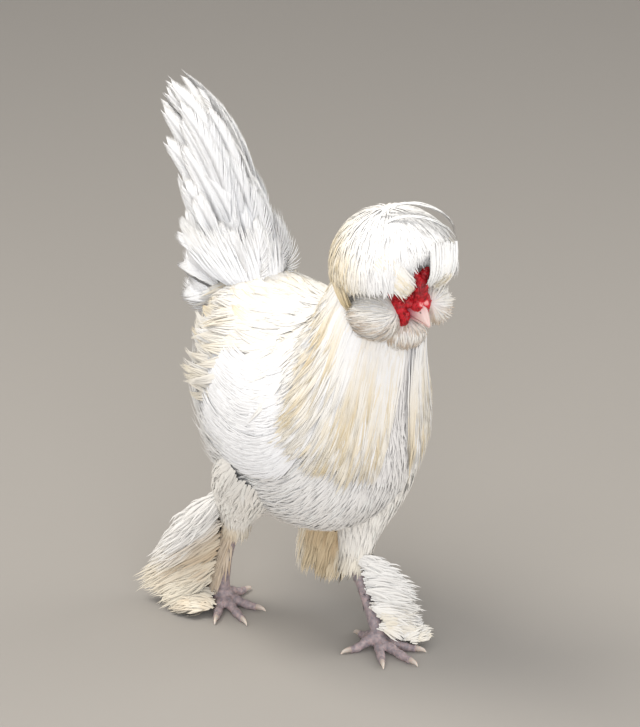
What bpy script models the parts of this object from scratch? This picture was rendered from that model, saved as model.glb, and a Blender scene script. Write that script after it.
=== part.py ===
# A sultan cock standing in mid stride: crest, beard, muffs, V comb, vulture hocks, feathered shanks,
# five toes. Metres, +Z up. The bird faces -Y and its left side is +X. Every feather is a closed vane or lock.
import math
import random

import bmesh
import bpy
import numpy as np
from mathutils import Matrix, Vector

# Clearance kept between nodes that touch.
GAP = 0.0003

# Sections of the body from tail root to nape: dorsal point (y, z), ventral point (y, z), half width.
SECTIONS = {
    "tail_root": ((0.072, 0.352), (0.114, 0.307), 0.023),
    "rump": ((0.054, 0.357), (0.117, 0.256), 0.043),
    "saddle": ((0.034, 0.357), (0.101, 0.204), 0.062),
    "hip": ((0.010, 0.356), (0.067, 0.154), 0.077),
    "mid_back": ((-0.015, 0.355), (0.020, 0.128), 0.085),
    "keel": ((-0.036, 0.355), (-0.031, 0.123), 0.088),
    "shoulder": ((-0.053, 0.358), (-0.080, 0.137), 0.085),
    "breast": ((-0.062, 0.365), (-0.119, 0.173), 0.075),
    "crop": ((-0.071, 0.376), (-0.139, 0.223), 0.059),
    "neck_low": ((-0.081, 0.390), (-0.145, 0.275), 0.045),
    "neck_mid": ((-0.090, 0.404), (-0.149, 0.323), 0.036),
    "nape": ((-0.102, 0.417), (-0.155, 0.366), 0.029),
}
STATION = {name: float(i) for i, name in enumerate(SECTIONS)}
DORSAL = np.array([s[0] for s in SECTIONS.values()])
VENTRAL = np.array([s[1] for s in SECTIONS.values()])
HALF_WIDTH = np.array([s[2] for s in SECTIONS.values()])

# The head: place of the skull's middle, and how far it turns to the bird's right and nods.
SKULL_CENTRE = Vector((0.0, -0.1432, 0.4036))
HEAD_TURN = math.radians(3)
HEAD_NOD = math.radians(12)
SKULL_RADII = (0.0165, 0.0260, 0.0185)
EYE_CENTRE = (0.0133, -0.0085, 0.0005)
EYE_RADIUS = 0.0048
LID_THICK = 0.0013

CAPE_TIPS = 6.0
CAPE_DEPTH = 0.0125
CAPE_CLEAR = 0.0010

CREST_CENTRE = (0.0, 0.0100, 0.0195)
CREST_RADIUS = 0.0565
MUFF_CENTRE = (0.0290, -0.0110, -0.0200)
MUFF_RADII = (0.0190, 0.0270, 0.0190)
BEARD_CENTRE = (0.0, -0.0190, -0.0360)
BEARD_RADII = (0.0230, 0.0190, 0.0160)

LEGS = {
    "left": {
        "side": 1,
        "knee": (0.050, -0.058, 0.176),
        "hock": (0.030, -0.050, 0.080),
        "ankle": (0.024, -0.092, 0.020),
        "heading": math.radians(8),
        "toes": {"inner": -42, "middle": -6, "outer": 26, "hind": 172, "fifth": -112},
        "vulture": np.array([0.000, 0.069, -0.055]),
        "sweep": np.array([0.046, -0.004, -0.022]),
    },
    "right": {
        "side": -1,
        "knee": (-0.052, 0.004, 0.178),
        "hock": (-0.036, 0.052, 0.102),
        "ankle": (-0.034, 0.078, 0.026),
        "heading": math.radians(18),
        "toes": {"inner": -42, "middle": -4, "outer": 30, "hind": 172, "fifth": -112},
        "vulture": np.array([-0.030, 0.078, -0.062]),
        "sweep": np.array([-0.048, 0.060, -0.032]),
    },
}
THIGH_RADII = (0.036, 0.031, 0.020, 0.0115)
SHANK_RADII = (0.0100, 0.0066, 0.0062, 0.0078)
TOE_LENGTH = {"inner": 0.034, "middle": 0.043, "outer": 0.035, "hind": 0.022, "fifth": 0.026}
CLAW_LENGTH = 0.010

MATERIALS = {
    "plumage": ((0.88, 0.87, 0.85), 0.75, 0.0),
    "straw_plumage": ((0.86, 0.80, 0.66), 0.75, 0.0),
    "red_skin": ((0.55, 0.02, 0.03), 0.5, 0.0),
    "beak_horn": ((0.80, 0.62, 0.58), 0.35, 0.0),
    "leg_skin": ((0.45, 0.40, 0.42), 0.6, 0.0),
    "claw_horn": ((0.75, 0.70, 0.64), 0.35, 0.0),
    "eye": ((0.20, 0.06, 0.02), 0.1, 0.0),
}


def clear_scene():
    for obj in list(bpy.data.objects):
        bpy.data.objects.remove(obj)


def material(name):
    made = bpy.data.materials.get(name)
    if made is None:
        colour, roughness, metallic = MATERIALS[name]
        made = bpy.data.materials.new(name)
        made.use_nodes = True
        shader = made.node_tree.nodes["Principled BSDF"]
        shader.inputs["Base Color"].default_value = (*colour, 1.0)
        shader.inputs["Roughness"].default_value = roughness
        shader.inputs["Metallic"].default_value = metallic
    return made


def spline(values, at):
    """Catmull-Rom curve through values, which stand at 0, 1, 2 and so on."""
    values = np.asarray(values, float)
    at = np.clip(np.asarray(at, float), 0, len(values) - 1 - 1e-9)
    i = np.floor(at).astype(int)
    t = at - i
    if values.ndim > 1:
        t = t[..., None]
    last = len(values) - 1
    before, here = values[np.maximum(i - 1, 0)], values[i]
    after, beyond = values[np.minimum(i + 1, last)], values[np.minimum(i + 2, last)]
    return 0.5 * (
        2 * here
        + (after - before) * t
        + (2 * before - 5 * here + 4 * after - beyond) * t * t
        + (3 * here - before - 3 * after + beyond) * t**3
    )


def along(values, count):
    """count values spread evenly along the curve through the given ones."""
    return spline(values, np.linspace(0, len(values) - 1, count))


def body_section(u):
    """Middle, upward half axis, its direction and the direction towards the head, in the YZ plane."""
    dorsal, ventral = spline(DORSAL, u), spline(VENTRAL, u)
    middle = (dorsal + ventral) / 2
    axis = (dorsal - ventral) / 2
    depth = np.linalg.norm(axis, axis=-1)
    up = axis / depth[..., None]
    ahead = np.stack([-up[..., 1], up[..., 0]], -1)
    return middle, depth, up, ahead


def body_point(u, v, d):
    """The point at station u, v radians round from the back towards +X, d outside the body's surface."""
    u, v, d = np.broadcast_arrays(np.asarray(u, float), np.asarray(v, float), np.asarray(d, float))
    middle, depth, up, _ = body_section(u)
    width = spline(HALF_WIDTH, u)
    out_x, out_up = np.sin(v) / width, np.cos(v) / depth
    long = np.hypot(out_x, out_up)
    x = np.sin(v) * width + out_x / long * d
    h = np.cos(v) * depth + out_up / long * d
    yz = middle + up * h[..., None]
    return np.stack([x, yz[..., 0], yz[..., 1]], -1)


def body_ring(u, d, around, ahead_by=0.0):
    """A ring round the body at one station, moved along its section's normal by ahead_by."""
    v = np.arange(around) * 2 * math.pi / around
    ahead = body_section(np.array(u, float))[3]
    return body_point(u, v, d) + np.array([0, ahead[0], ahead[1]]) * ahead_by


def loft(rings):
    """A closed skin over rings of equal count, with a fan to the middle of each end ring."""
    count = len(rings[0])
    points = [p for ring in rings for p in ring]
    faces = []
    for i in range(len(rings) - 1):
        a, b = i * count, (i + 1) * count
        for j in range(count):
            k = (j + 1) % count
            faces += [(a + j, a + k, b + k), (a + j, b + k, b + j)]
    for ring, start, flip in ((rings[0], 0, True), (rings[-1], (len(rings) - 1) * count, False)):
        middle = len(points)
        points.append(np.mean(ring, axis=0))
        for j in range(count):
            k = (j + 1) % count
            faces.append((start + k, start + j, middle) if flip else (start + j, start + k, middle))
    return points, faces


def frames(path, up):
    """Tangents, sideways directions and normals along a path, the normals as near up as can be."""
    path = np.asarray(path, float)
    tangent = np.gradient(path, axis=0)
    tangent /= np.linalg.norm(tangent, axis=1)[:, None]
    up = np.broadcast_to(np.asarray(up, float), path.shape)
    side = np.cross(tangent, up)
    side /= np.linalg.norm(side, axis=1)[:, None]
    return tangent, side, np.cross(side, tangent)


def tube(path, wide, high, sides, up=(0, 0, 1), longer=0.0):
    """A closed tube of elliptical section along a path, made longer at both ends."""
    path = np.array(path, float)
    tangent, side, normal = frames(path, up)
    path[0] -= tangent[0] * longer
    path[-1] += tangent[-1] * longer
    angle = np.arange(sides) * 2 * math.pi / sides
    wide = np.broadcast_to(np.asarray(wide, float), len(path))
    high = np.broadcast_to(np.asarray(high, float), len(path))
    rings = [
        p + np.outer(np.cos(angle) * w, s) + np.outer(np.sin(angle) * h, n)
        for p, s, n, w, h in zip(path, side, normal, wide, high)
    ]
    return loft(rings)


LOCK_WIDTHS = {4: (0.22, 0.84, 0.92, 0.10), 5: (0.22, 0.76, 1.0, 0.80, 0.09)}


def lock(path, up, half_width, thick, grow=0.0, cup=0.0, widths=None):
    """A flat tapered feather: a closed strip along a path, its edges bent down to a radius of cup."""
    tangent, side, normal = frames(path, up)
    path = np.array(path, float)
    path[-1] += tangent[-1] * grow
    wide = np.array(widths or LOCK_WIDTHS[len(path)]) * half_width + grow
    half = thick / 2 + grow
    points = []
    for p, s, n, w in zip(path, side, normal, wide):
        edge = p - n * (w * w / (2 * cup)) if cup else p
        top = [edge - s * w + n * half, p + n * half, edge + s * w + n * half]
        low = [edge + s * w - n * half, p - n * half, edge - s * w - n * half]
        points += top + low if cup else [top[0], top[2], low[0], low[2]]
    m = 3 if cup else 2
    faces = []
    for i in range(len(path) - 1):
        a, b = 2 * m * i, 2 * m * (i + 1)
        for j in range(m - 1):
            faces += [(a + j, a + j + 1, b + j + 1), (a + j, b + j + 1, b + j)]
            k = 2 * m - 1 - j
            faces += [(a + k - 1, a + k, b + k - 1), (a + k, b + k, b + k - 1)]
        for j, k in ((m - 1, m), (2 * m - 1, 0)):
            faces += [(a + j, a + k, b + k), (a + j, b + k, b + j)]
    for start, flip in ((0, True), (2 * m * (len(path) - 1), False)):
        for j in range(m - 1):
            quad = (start + j, start + j + 1, start + 2 * m - 2 - j, start + 2 * m - 1 - j)
            for tri in ((quad[0], quad[1], quad[2]), (quad[0], quad[2], quad[3])):
                faces.append(tri[::-1] if flip else tri)
    return points, faces


def body_lock(root, tip, depths, half_width, thick, bend=1.0, grow=0.0, count=5):
    """A lock over the body from one (station, degrees round) to another, at depths over its surface."""
    s = np.linspace(0, 1, count)
    u = root[0] + (tip[0] - root[0]) * s
    v = np.radians(root[1] + (tip[1] - root[1]) * s**bend)
    d = along(depths, count)
    path = body_point(u, v, d)
    return lock(path, body_point(u, v, d + 0.01) - path, half_width, thick, grow)


def bezier(a, b, c, count):
    t = np.linspace(0, 1, count)[:, None]
    return np.array(a) * (1 - t) ** 2 + 2 * np.array(b) * t * (1 - t) + np.array(c) * t**2


def ball_locks(centre, radii, pole, tiers, spread, thick, seed, keep=None):
    """Locks that rise from inside a ball near its pole and fall over it, tier by tier, in the head's frame.

    A tier is (first angle from the pole, last angle, share of the radius, count, half width).
    """
    rng = random.Random(seed)
    pole = Vector(pole).normalized()
    turn = Vector((0, 0, 1)).rotation_difference(pole).to_matrix()
    shapes = []
    for number, (first, last, share, count, half_width) in enumerate(tiers):
        for i in range(count):
            around = 2 * math.pi * (i + 0.5 * (number % 2) + rng.uniform(-spread, spread)) / count
            end = last * rng.uniform(0.93, 1.04)
            if keep:
                end = keep(around, first, end)
                if end is None:
                    continue
            path, ups = [], []
            under = 0.024 * (i % 2)
            start = first + 5 * (i % 2)
            for s, rise in ((0.0, 0.50), (0.26, 0.92), (0.62, 1.0), (1.0, 0.98)):
                angle = math.radians(start + (end - start) * s**1.15)
                flat = math.sin(angle)
                out = turn @ Vector((flat * math.sin(around), -flat * math.cos(around), math.cos(angle)))
                path.append(np.array(centre) + np.array(out) * radii * (share - under) * rise)
                ups.append(np.array(out) / radii)
            shapes.append(lock(path, ups, half_width * rng.uniform(0.92, 1.08), thick, 0.0, min(radii)))
    return shapes


def volume_of(points, faces):
    p = np.asarray(points, float)[np.asarray(faces)]
    return np.einsum("ij,ij->", p[:, 0], np.cross(p[:, 1], p[:, 2])) / 6


def solid(name, shape, material_name):
    """An object from points and triangles, turned to face outwards."""
    points, faces = shape
    if volume_of(points, faces) < 0:
        faces = [tuple(reversed(f)) for f in faces]
    mesh = bpy.data.meshes.new(name)
    mesh.from_pydata([tuple(map(float, p)) for p in points], [], faces)
    mesh.materials.append(material(material_name))
    obj = bpy.data.objects.new(name, mesh)
    bpy.context.scene.collection.objects.link(obj)
    return obj


def ellipsoid(centre, radii, segments, rings):
    mesh = bmesh.new()
    bmesh.ops.create_uvsphere(mesh, u_segments=segments, v_segments=rings, radius=1.0)
    bmesh.ops.triangulate(mesh, faces=mesh.faces)
    mesh.verts.index_update()
    points = [np.array(v.co) * radii + np.array(centre) for v in mesh.verts]
    faces = [tuple(v.index for v in f.verts) for f in mesh.faces]
    mesh.free()
    return points, faces


def box(low, high):
    """A closed box between two opposite corners."""
    points = [(x, y, z) for x in (low[0], high[0]) for y in (low[1], high[1]) for z in (low[2], high[2])]
    faces = [
        (0, 1, 3), (0, 3, 2), (4, 6, 7), (4, 7, 5), (0, 4, 5), (0, 5, 1),
        (2, 3, 7), (2, 7, 6), (0, 2, 6), (0, 6, 4), (1, 5, 7), (1, 7, 3),
    ]
    return points, faces


def placed(shape, matrix):
    points, faces = shape
    return [np.array(matrix @ Vector(p)) for p in points], faces


def mirrored(shape):
    points, faces = shape
    return [np.array(p) * (-1, 1, 1) for p in points], [tuple(reversed(f)) for f in faces]


def head_matrix():
    return (
        Matrix.Translation(SKULL_CENTRE)
        @ Matrix.Rotation(-HEAD_TURN, 4, "Z")
        @ Matrix.Rotation(HEAD_NOD, 4, "X")
    )


def in_head(shape, side=1):
    """A shape made in the head's own frame, on its left (1) or its right (-1), put in its place."""
    return placed(shape if side > 0 else mirrored(shape), head_matrix())


def shape_of(obj):
    """The points and triangles of an object, as the other shapes here are kept."""
    obj.data.calc_loop_triangles()
    points = [tuple(vert.co) for vert in obj.data.vertices]
    return points, [tuple(tri.vertices) for tri in obj.data.loop_triangles]


def keep_largest(obj):
    """Drops every closed surface of the object but the one that holds most."""
    mesh = bmesh.new()
    mesh.from_mesh(obj.data)
    left = set(mesh.verts)
    islands = []
    while left:
        stack = [left.pop()]
        island = set(stack)
        while stack:
            for edge in stack.pop().link_edges:
                for vert in edge.verts:
                    if vert in left:
                        left.remove(vert)
                        island.add(vert)
                        stack.append(vert)
        islands.append(island)
    if len(islands) > 1:
        largest = max(islands, key=island_volume)
        bmesh.ops.delete(mesh, geom=[v for v in mesh.verts if v not in largest], context="VERTS")
    mesh.to_mesh(obj.data)
    mesh.free()


def island_volume(island):
    faces = {face for vert in island for face in vert.link_faces}
    total = 0.0
    for face in faces:
        first = face.verts[0].co
        for a, b in zip(face.verts[1:], face.verts[2:]):
            total += first.dot(a.co.cross(b.co))
    return abs(total)


def is_closed(data):
    mesh = bmesh.new()
    mesh.from_mesh(data)
    closed = all(len(edge.link_faces) == 2 for edge in mesh.edges)
    mesh.free()
    return closed


def combine(obj, shapes, operation):
    """Joins the closed shapes to obj, or cuts them from it, in one Boolean, and keeps the largest surface.

    Where the exact solver leaves an open edge, the other one does the work.
    """
    group = bpy.data.collections.new(obj.name + "_pieces")
    bpy.context.scene.collection.children.link(group)
    for i, shape in enumerate(shapes):
        piece = solid(f"{obj.name}_piece_{i}", shape, obj.data.materials[0].name)
        bpy.context.scene.collection.objects.unlink(piece)
        group.objects.link(piece)
    modifier = obj.modifiers.new("combine", "BOOLEAN")
    modifier.operation = operation
    modifier.operand_type = "COLLECTION"
    modifier.collection = group
    for solver in ("EXACT", "MANIFOLD"):
        modifier.solver = solver
        graph = bpy.context.evaluated_depsgraph_get()
        made = bpy.data.meshes.new_from_object(obj.evaluated_get(graph))
        if is_closed(made):
            break
    obj.modifiers.clear()
    obj.data = made
    for piece in list(group.objects):
        bpy.data.objects.remove(piece)
    bpy.data.collections.remove(group)
    keep_largest(obj)
    return obj


def fuse(obj, shapes):
    return combine(obj, shapes, "UNION")


def cut(obj, shapes):
    """A cutter may cross another, so each is taken away in its own Boolean."""
    for shape in shapes:
        combine(obj, [shape], "DIFFERENCE")
    return obj


BODY_AROUND = 24
TORSO_STATIONS = np.linspace(0, STATION["crop"], 15)
NECK_STATIONS = np.linspace(STATION["crop"], STATION["nape"], 6)


def torso_shape(grow=0.0):
    rings = [body_ring(u, grow, BODY_AROUND) for u in TORSO_STATIONS]
    rings[0] = body_ring(TORSO_STATIONS[0], grow, BODY_AROUND, -grow)
    rings[-1] = body_ring(TORSO_STATIONS[-1], grow, BODY_AROUND, grow)
    return loft(rings)


def cape_shape(grow=0.0):
    """The hackle as one smooth cape, from the nape down over the torso to the station of its tips."""
    top = STATION["nape"]
    rings = [body_ring(top, grow, BODY_AROUND, grow)]
    rings += [body_ring(top - 0.3, CAPE_DEPTH * 0.6 + grow, BODY_AROUND)]
    stations = np.linspace(top - 0.8, CAPE_TIPS + 0.6, 8)
    rings += [body_ring(u, CAPE_DEPTH + grow, BODY_AROUND) for u in stations]
    rings += [body_ring(CAPE_TIPS, CAPE_DEPTH * 0.6 + grow, BODY_AROUND, -grow)]
    return loft(rings)


def neck_core():
    rings = [body_ring(u, 0, BODY_AROUND) for u in NECK_STATIONS]
    rings[0] = body_ring(NECK_STATIONS[0], 0, BODY_AROUND, -0.0023)
    return loft(rings)


HACKLE_TIERS = (
    # root station, tip station at the sides, depth, count, half width
    (9.3, 6.15, 0.0034, 11, 0.0150),
    (10.2, 7.2, 0.0068, 8, 0.0150),
    (10.8, 8.6, 0.0098, 6, 0.0125),
)


def hackle_locks():
    rng = random.Random(11)
    shapes = []
    for number, (root, tip, depth, count, half_width) in enumerate(HACKLE_TIERS):
        for i in range(count):
            v = 360 * (i + 0.5 * (number % 2) + rng.uniform(-0.10, 0.10)) / count - 180
            front = max(0.0, (abs(v) - 120) / 60)
            end = tip + (1.5 - 0.3 * number) * front * front + rng.uniform(-0.1, 0.22)
            over = depth + 0.0014 * (i % 2)
            wide = half_width * rng.uniform(0.9, 1.1) * (1 - 0.2 * front)
            depths = (-0.0025, over * 0.7, over, over, over + 0.0006)
            aim = (end, v * 1.02 + rng.uniform(-4, 4))
            shapes.append(body_lock((root, v), aim, depths, wide, 0.0008))
    return shapes


def make_neck():
    neck = solid("neck", neck_core(), "straw_plumage")
    fuse(neck, hackle_locks())
    cut(neck, [torso_shape(GAP), skull_shape(GAP)])


def skull_shape(grow=0.0):
    return in_head(ellipsoid((0, 0, 0), [r + grow for r in SKULL_RADII], 20, 12))


def throat_shape(grow=0.0):
    """The short stub that brings the skull down onto the neck's cut."""
    top = STATION["nape"]
    base = body_ring(top, grow - 0.002, 20, GAP)
    middle = base.mean(axis=0)
    ahead = body_section(np.array(top))[3]
    ahead = np.array([0, ahead[0], ahead[1]])
    rings = [base - ahead * grow]
    for scale, by in ((0.86, 0.007), (0.62, 0.015)):
        rings.append(middle + (base - middle) * (scale + grow / 0.02) + ahead * (by + grow))
    return loft(rings)


def make_head():
    head = solid("head", skull_shape(), "red_skin")
    lid = ellipsoid(EYE_CENTRE, [EYE_RADIUS + LID_THICK] * 3, 10, 6)
    fuse(head, [throat_shape(), in_head(lid), in_head(lid, -1)])
    socket = ellipsoid(EYE_CENTRE, [EYE_RADIUS + GAP] * 3, 12, 7)
    opening = ellipsoid(np.array(EYE_CENTRE) + (0.006, -0.0004, 0), (0.0060, 0.0043, 0.0027), 10, 5)
    cut(head, [in_head(shape, side) for shape in (opening, socket) for side in (1, -1)])
    for name, side in (("left", 1), ("right", -1)):
        centre = (side * EYE_CENTRE[0], *EYE_CENTRE[1:])
        solid("eye_" + name, placed(ellipsoid(centre, [EYE_RADIUS] * 3, 12, 7), head_matrix()), "eye")
    return head


def beak_shape(upper, grow=0.0):
    """Half a beak in the head's frame; the two halves meet along the mouth with a gap between them."""
    y = np.array([-0.010, -0.026, -0.036, -0.043, -0.049, -0.0522])
    top = np.array([0.0100, 0.0085, 0.0060, 0.0010, -0.0060, -0.0100]) if upper else None
    mouth = np.array([-0.0085, -0.0085, -0.0085, -0.0090, -0.0105, -0.0118])
    low = np.array([-0.0150, -0.0148, -0.0142, -0.0132, -0.0125, -0.0124])
    wide = np.array([0.0110, 0.0098, 0.0080, 0.0056, 0.0028, 0.0009]) + grow
    rings = []
    n = 10
    for i in range(len(y) if upper else len(y) - 1):
        a, b = (mouth[i] + GAP / 2, top[i]) if upper else (mouth[i] - GAP / 2, low[i])
        t = np.linspace(0, math.pi, n)
        x = np.cos(t) * wide[i] * (1 if upper else 0.9)
        z = a + np.sin(t) * (b - a)
        if grow:
            z = z + np.where(np.sin(t) > 0.01, grow, -grow) * (1 if upper else -1)
        rings.append(np.stack([x, np.full(n, y[i] - (grow if i == len(y) - 1 else 0)), z], -1))
    return loft(rings)


def comb_shapes():
    """A low ridge over the beak that splits into two small horns."""
    ridge = tube(
        [(0, -0.0350, 0.0050), (0, -0.0345, 0.0110), (0, -0.0310, 0.0180), (0, -0.0260, 0.0245)],
        [0.0050, 0.0062, 0.0062, 0.0058], [0.0030, 0.0050, 0.0056, 0.0050], 10, (0, -1, 0),
    )
    horn = tube(
        [
            (0.001, -0.0260, 0.0215),
            (0.0046, -0.0245, 0.0270),
            (0.0082, -0.0225, 0.0320),
            (0.0115, -0.0200, 0.0362),
        ],
        [0.0050, 0.0050, 0.0038, 0.0012], [0.0042, 0.0042, 0.0032, 0.0010], 10, (0, -1, 0),
    )
    base = tube(
        [(0, -0.020, 0.0080), (0, -0.028, 0.0085), (0, -0.034, 0.0085)],
        [0.0070, 0.0064, 0.0050], [0.0070, 0.0060, 0.0045], 10, (0, 0, 1),
    )
    return [ridge, base, horn, mirrored(horn)]


def make_face():
    upper = solid("beak_upper", in_head(beak_shape(True)), "beak_horn")
    lower = solid("beak_lower", in_head(beak_shape(False)), "beak_horn")
    grown = skull_shape(GAP)
    nostril = ellipsoid((0.0094, -0.0275, 0.0005), (0.0016, 0.0026, 0.0011), 8, 5)
    cut(upper, [grown, in_head(nostril), in_head(nostril, -1)])
    cut(lower, [grown])
    shapes = [in_head(s) for s in comb_shapes()]
    comb = solid("comb", shapes[0], "red_skin")
    fuse(comb, shapes[1:])
    cut(comb, [grown, in_head(beak_shape(True, GAP))])
    for name, side in (("left", 1), ("right", -1)):
        drop = tube(
            [
                (0.0080, -0.0230, -0.0090),
                (0.0100, -0.0255, -0.0160),
                (0.0105, -0.0270, -0.0215),
                (0.0100, -0.0275, -0.0250),
            ],
            [0.0060, 0.0062, 0.0046, 0.0012], [0.0024, 0.0028, 0.0022, 0.0008], 10, (1, 0, 0),
        )
        wattle = solid("wattle_" + name, in_head(drop, side), "red_skin")
        cut(wattle, [grown, in_head(beak_shape(True, GAP)), in_head(beak_shape(False, GAP))])


def crest_room(grow=0.0):
    """Shapes that the crest stays clear of: below its rim, and in the parting before the comb."""
    tilt = Matrix.Translation((0, 0.006, -0.008 + grow)) @ Matrix.Rotation(-math.radians(14), 4, "X")
    under = placed(placed(box((-0.2, -0.2, -0.2), (0.2, 0.2, 0.0)), tilt), head_matrix())
    back, front = (-0.0165, 0.0165, 0.0385), (-0.0850, 0.0760, 0.0800)
    points = []
    for y, wide, top in (back, front):
        points += [(-wide, y, -0.05), (wide, y, -0.05), (wide, y, top), (-wide, y, top)]
    faces = [(0, 1, 2), (0, 2, 3), (4, 6, 5), (4, 7, 6)]
    for i in range(4):
        j = (i + 1) % 4
        faces += [(i, 4 + i, 4 + j), (i, 4 + j, j)]
    return [under, in_head((points, faces))]


def before_comb(around, first, end):
    """Crest feathers over the comb and the beak end short, and the lowest tiers leave the face free."""
    from_front = abs((math.degrees(around) + 180) % 360 - 180)
    if from_front < 24:
        return min(end, 66) if first < 40 else None
    if from_front < 44:
        return min(end, 92) if first < 60 else None
    return end


CREST_TIERS = (
    # first angle from the top, last angle, share of the radius, count, half width
    (12, 56, 1.000, 5, 0.0165),
    (30, 86, 0.950, 6, 0.0210),
    (52, 110, 0.900, 7, 0.0205),
    (78, 128, 0.856, 6, 0.0190),
)


def make_crest():
    core = in_head(ellipsoid((0, 0.010, 0.014), (0.034, 0.036, 0.032), 16, 10))
    crest = solid("crest", core, "plumage")
    radii = np.array([CREST_RADIUS * 1.06, CREST_RADIUS * 1.06, CREST_RADIUS])
    locks = ball_locks(CREST_CENTRE, radii, (0, 0, 1), CREST_TIERS, 0.15, 0.0009, 5, before_comb)
    spine = [(0, 0.010, 0.030), (0, 0.010, 0.060), (0, 0.008, 0.0745)]
    knob = tube(spine, (0.010, 0.0105, 0.004), (0.010, 0.0105, 0.004), 8, (0, -1, 0))
    fuse(crest, [in_head(piece) for piece in [knob, *locks]])
    cutters = [*crest_room(), skull_shape(GAP), throat_shape(GAP), cape_shape(CAPE_CLEAR)]
    cutters += [in_head(lid_room(), side) for side in (1, -1)]
    cut(crest, cutters)


def lid_room():
    return ellipsoid(EYE_CENTRE, [EYE_RADIUS + LID_THICK + 3 * GAP] * 3, 10, 6)


MUFF_TIERS = (
    (20, 88, 1.00, 4, 0.0120),
    (62, 124, 0.91, 5, 0.0115),
)
BEARD_TIERS = (
    (20, 86, 1.00, 3, 0.0120),
    (60, 124, 0.92, 5, 0.0110),
)


def make_muffs():
    for name, side in (("left", 1), ("right", -1)):
        core = ellipsoid(MUFF_CENTRE, np.array(MUFF_RADII) * 0.66, 8, 6)
        root = tube([(0.008, -0.006, -0.010), (0.020, -0.008, -0.016)], 0.010, 0.011, 6, (0, 0, 1))
        muff = solid("muff_" + name, in_head(core, side), "plumage")
        pole = (-0.35, -0.75, 0.55)
        locks = ball_locks(MUFF_CENTRE, np.array(MUFF_RADII), pole, MUFF_TIERS, 0.15, 0.0008, 7)
        fuse(muff, [in_head(piece, side) for piece in [root, *locks]])
        tilt = Matrix.Translation((0, 0.006, -0.008 - 2 * GAP))
        tilt = tilt @ Matrix.Rotation(-math.radians(14), 4, "X")
        over = placed(placed(box((-0.2, -0.2, 0.0), (0.2, 0.2, 0.2)), tilt), head_matrix())
        cutters = [over, skull_shape(GAP), throat_shape(GAP), cape_shape(CAPE_CLEAR)]
        cutters += [in_head(beak_shape(up, GAP)) for up in (True, False)]
        cutters += [in_head(box((-0.2, -0.0507, -0.0503), (0.0127, 0.0011, 0.0203)), side)]
        cutters += [in_head(lid_room(), side)]
        cut(muff, cutters)
    core = in_head(ellipsoid(BEARD_CENTRE, np.array(BEARD_RADII) * 0.66, 8, 6))
    beard = solid("beard", core, "plumage")
    root = tube([(0, -0.004, -0.018), (0, -0.014, -0.032)], 0.012, 0.009, 6, (0, 0, 1))
    radii = np.array(BEARD_RADII)
    locks = ball_locks(BEARD_CENTRE, radii, (0, -0.45, 0.9), BEARD_TIERS, 0.15, 0.0008, 9)
    fuse(beard, [in_head(piece) for piece in [root, *locks]])
    cutters = [skull_shape(GAP), throat_shape(GAP), cape_shape(CAPE_CLEAR)]
    for side in (1, -1):
        grown = [r + 0.001 for r in MUFF_RADII]
        cutters.append(in_head(ellipsoid(MUFF_CENTRE, grown, 14, 8), side))
        cutters.append(in_head(box((0.0035, -0.032, -0.0275), (0.0165, -0.018, -0.01)), side))
    cutters.append(in_head(box((-0.012, -0.07, -0.0165), (0.012, -0.01, 0.0))))
    cut(beard, cutters)


def wing_patch(first, last, low, high, inner, outer, columns=12, rows=8):
    """A closed slab over the body between two stations and two angles, tapered towards its edges."""
    u = np.linspace(first, last, columns)
    t = np.linspace(0, 1, rows)
    points = []
    for depth, crown in ((inner, 0.0), (outer, 1.0)):
        for i, ui in enumerate(u):
            inner_column = 0 < i < columns - 1
            edge_u = math.sin(math.pi * i / (columns - 1)) ** 0.4 if inner_column else 0.15
            for tj in t:
                edge = max(0.12, math.sin(math.pi * tj) ** 0.4) * max(0.12, edge_u)
                d = inner + (depth - inner) * edge if crown else inner
                narrow = 1 - 0.35 * (i / (columns - 1)) ** 2
                v = math.radians((low + high) / 2 + (tj - 0.5) * (high - low) * narrow)
                points.append(body_point(ui, v, d))
    points = [np.asarray(p) for p in points]
    n = columns * rows
    faces = []
    for i in range(columns - 1):
        for j in range(rows - 1):
            a, b, c, e = i * rows + j, i * rows + j + 1, (i + 1) * rows + j + 1, (i + 1) * rows + j
            faces += [(a, b, c), (a, c, e), (n + a, n + c, n + b), (n + a, n + e, n + c)]
    rim = [i * rows for i in range(columns)] + [(columns - 1) * rows + j for j in range(1, rows)]
    rim += [i * rows + rows - 1 for i in range(columns - 2, -1, -1)] + list(range(rows - 2, 0, -1))
    for a, b in zip(rim, rim[1:] + rim[:1]):
        faces += [(a, n + a, n + b), (a, n + b, b)]
    return points, faces


WING_ROWS = (
    # count, first root (station, degrees), last root, first tip, last tip, depth, half width
    (3, (4.7, 94), (4.5, 80), (3.0, 88), (2.4, 76), 0.0030, 0.0080),
    (4, (5.0, 90), (4.8, 56), (3.0, 94), (2.3, 65), 0.0044, 0.0115),
    (3, (5.8, 90), (5.6, 56), (4.2, 96), (4.1, 59), 0.0060, 0.0160),
    (3, (6.4, 88), (6.3, 56), (5.1, 92), (5.0, 58), 0.0076, 0.0150),
)


def reach_before(piece, y_limit, side):
    """How far out to one side a lock lies, ahead of a plane across the body."""
    return max([side * x for x, y, z in piece[0] if y < y_limit], default=0.0)


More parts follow.
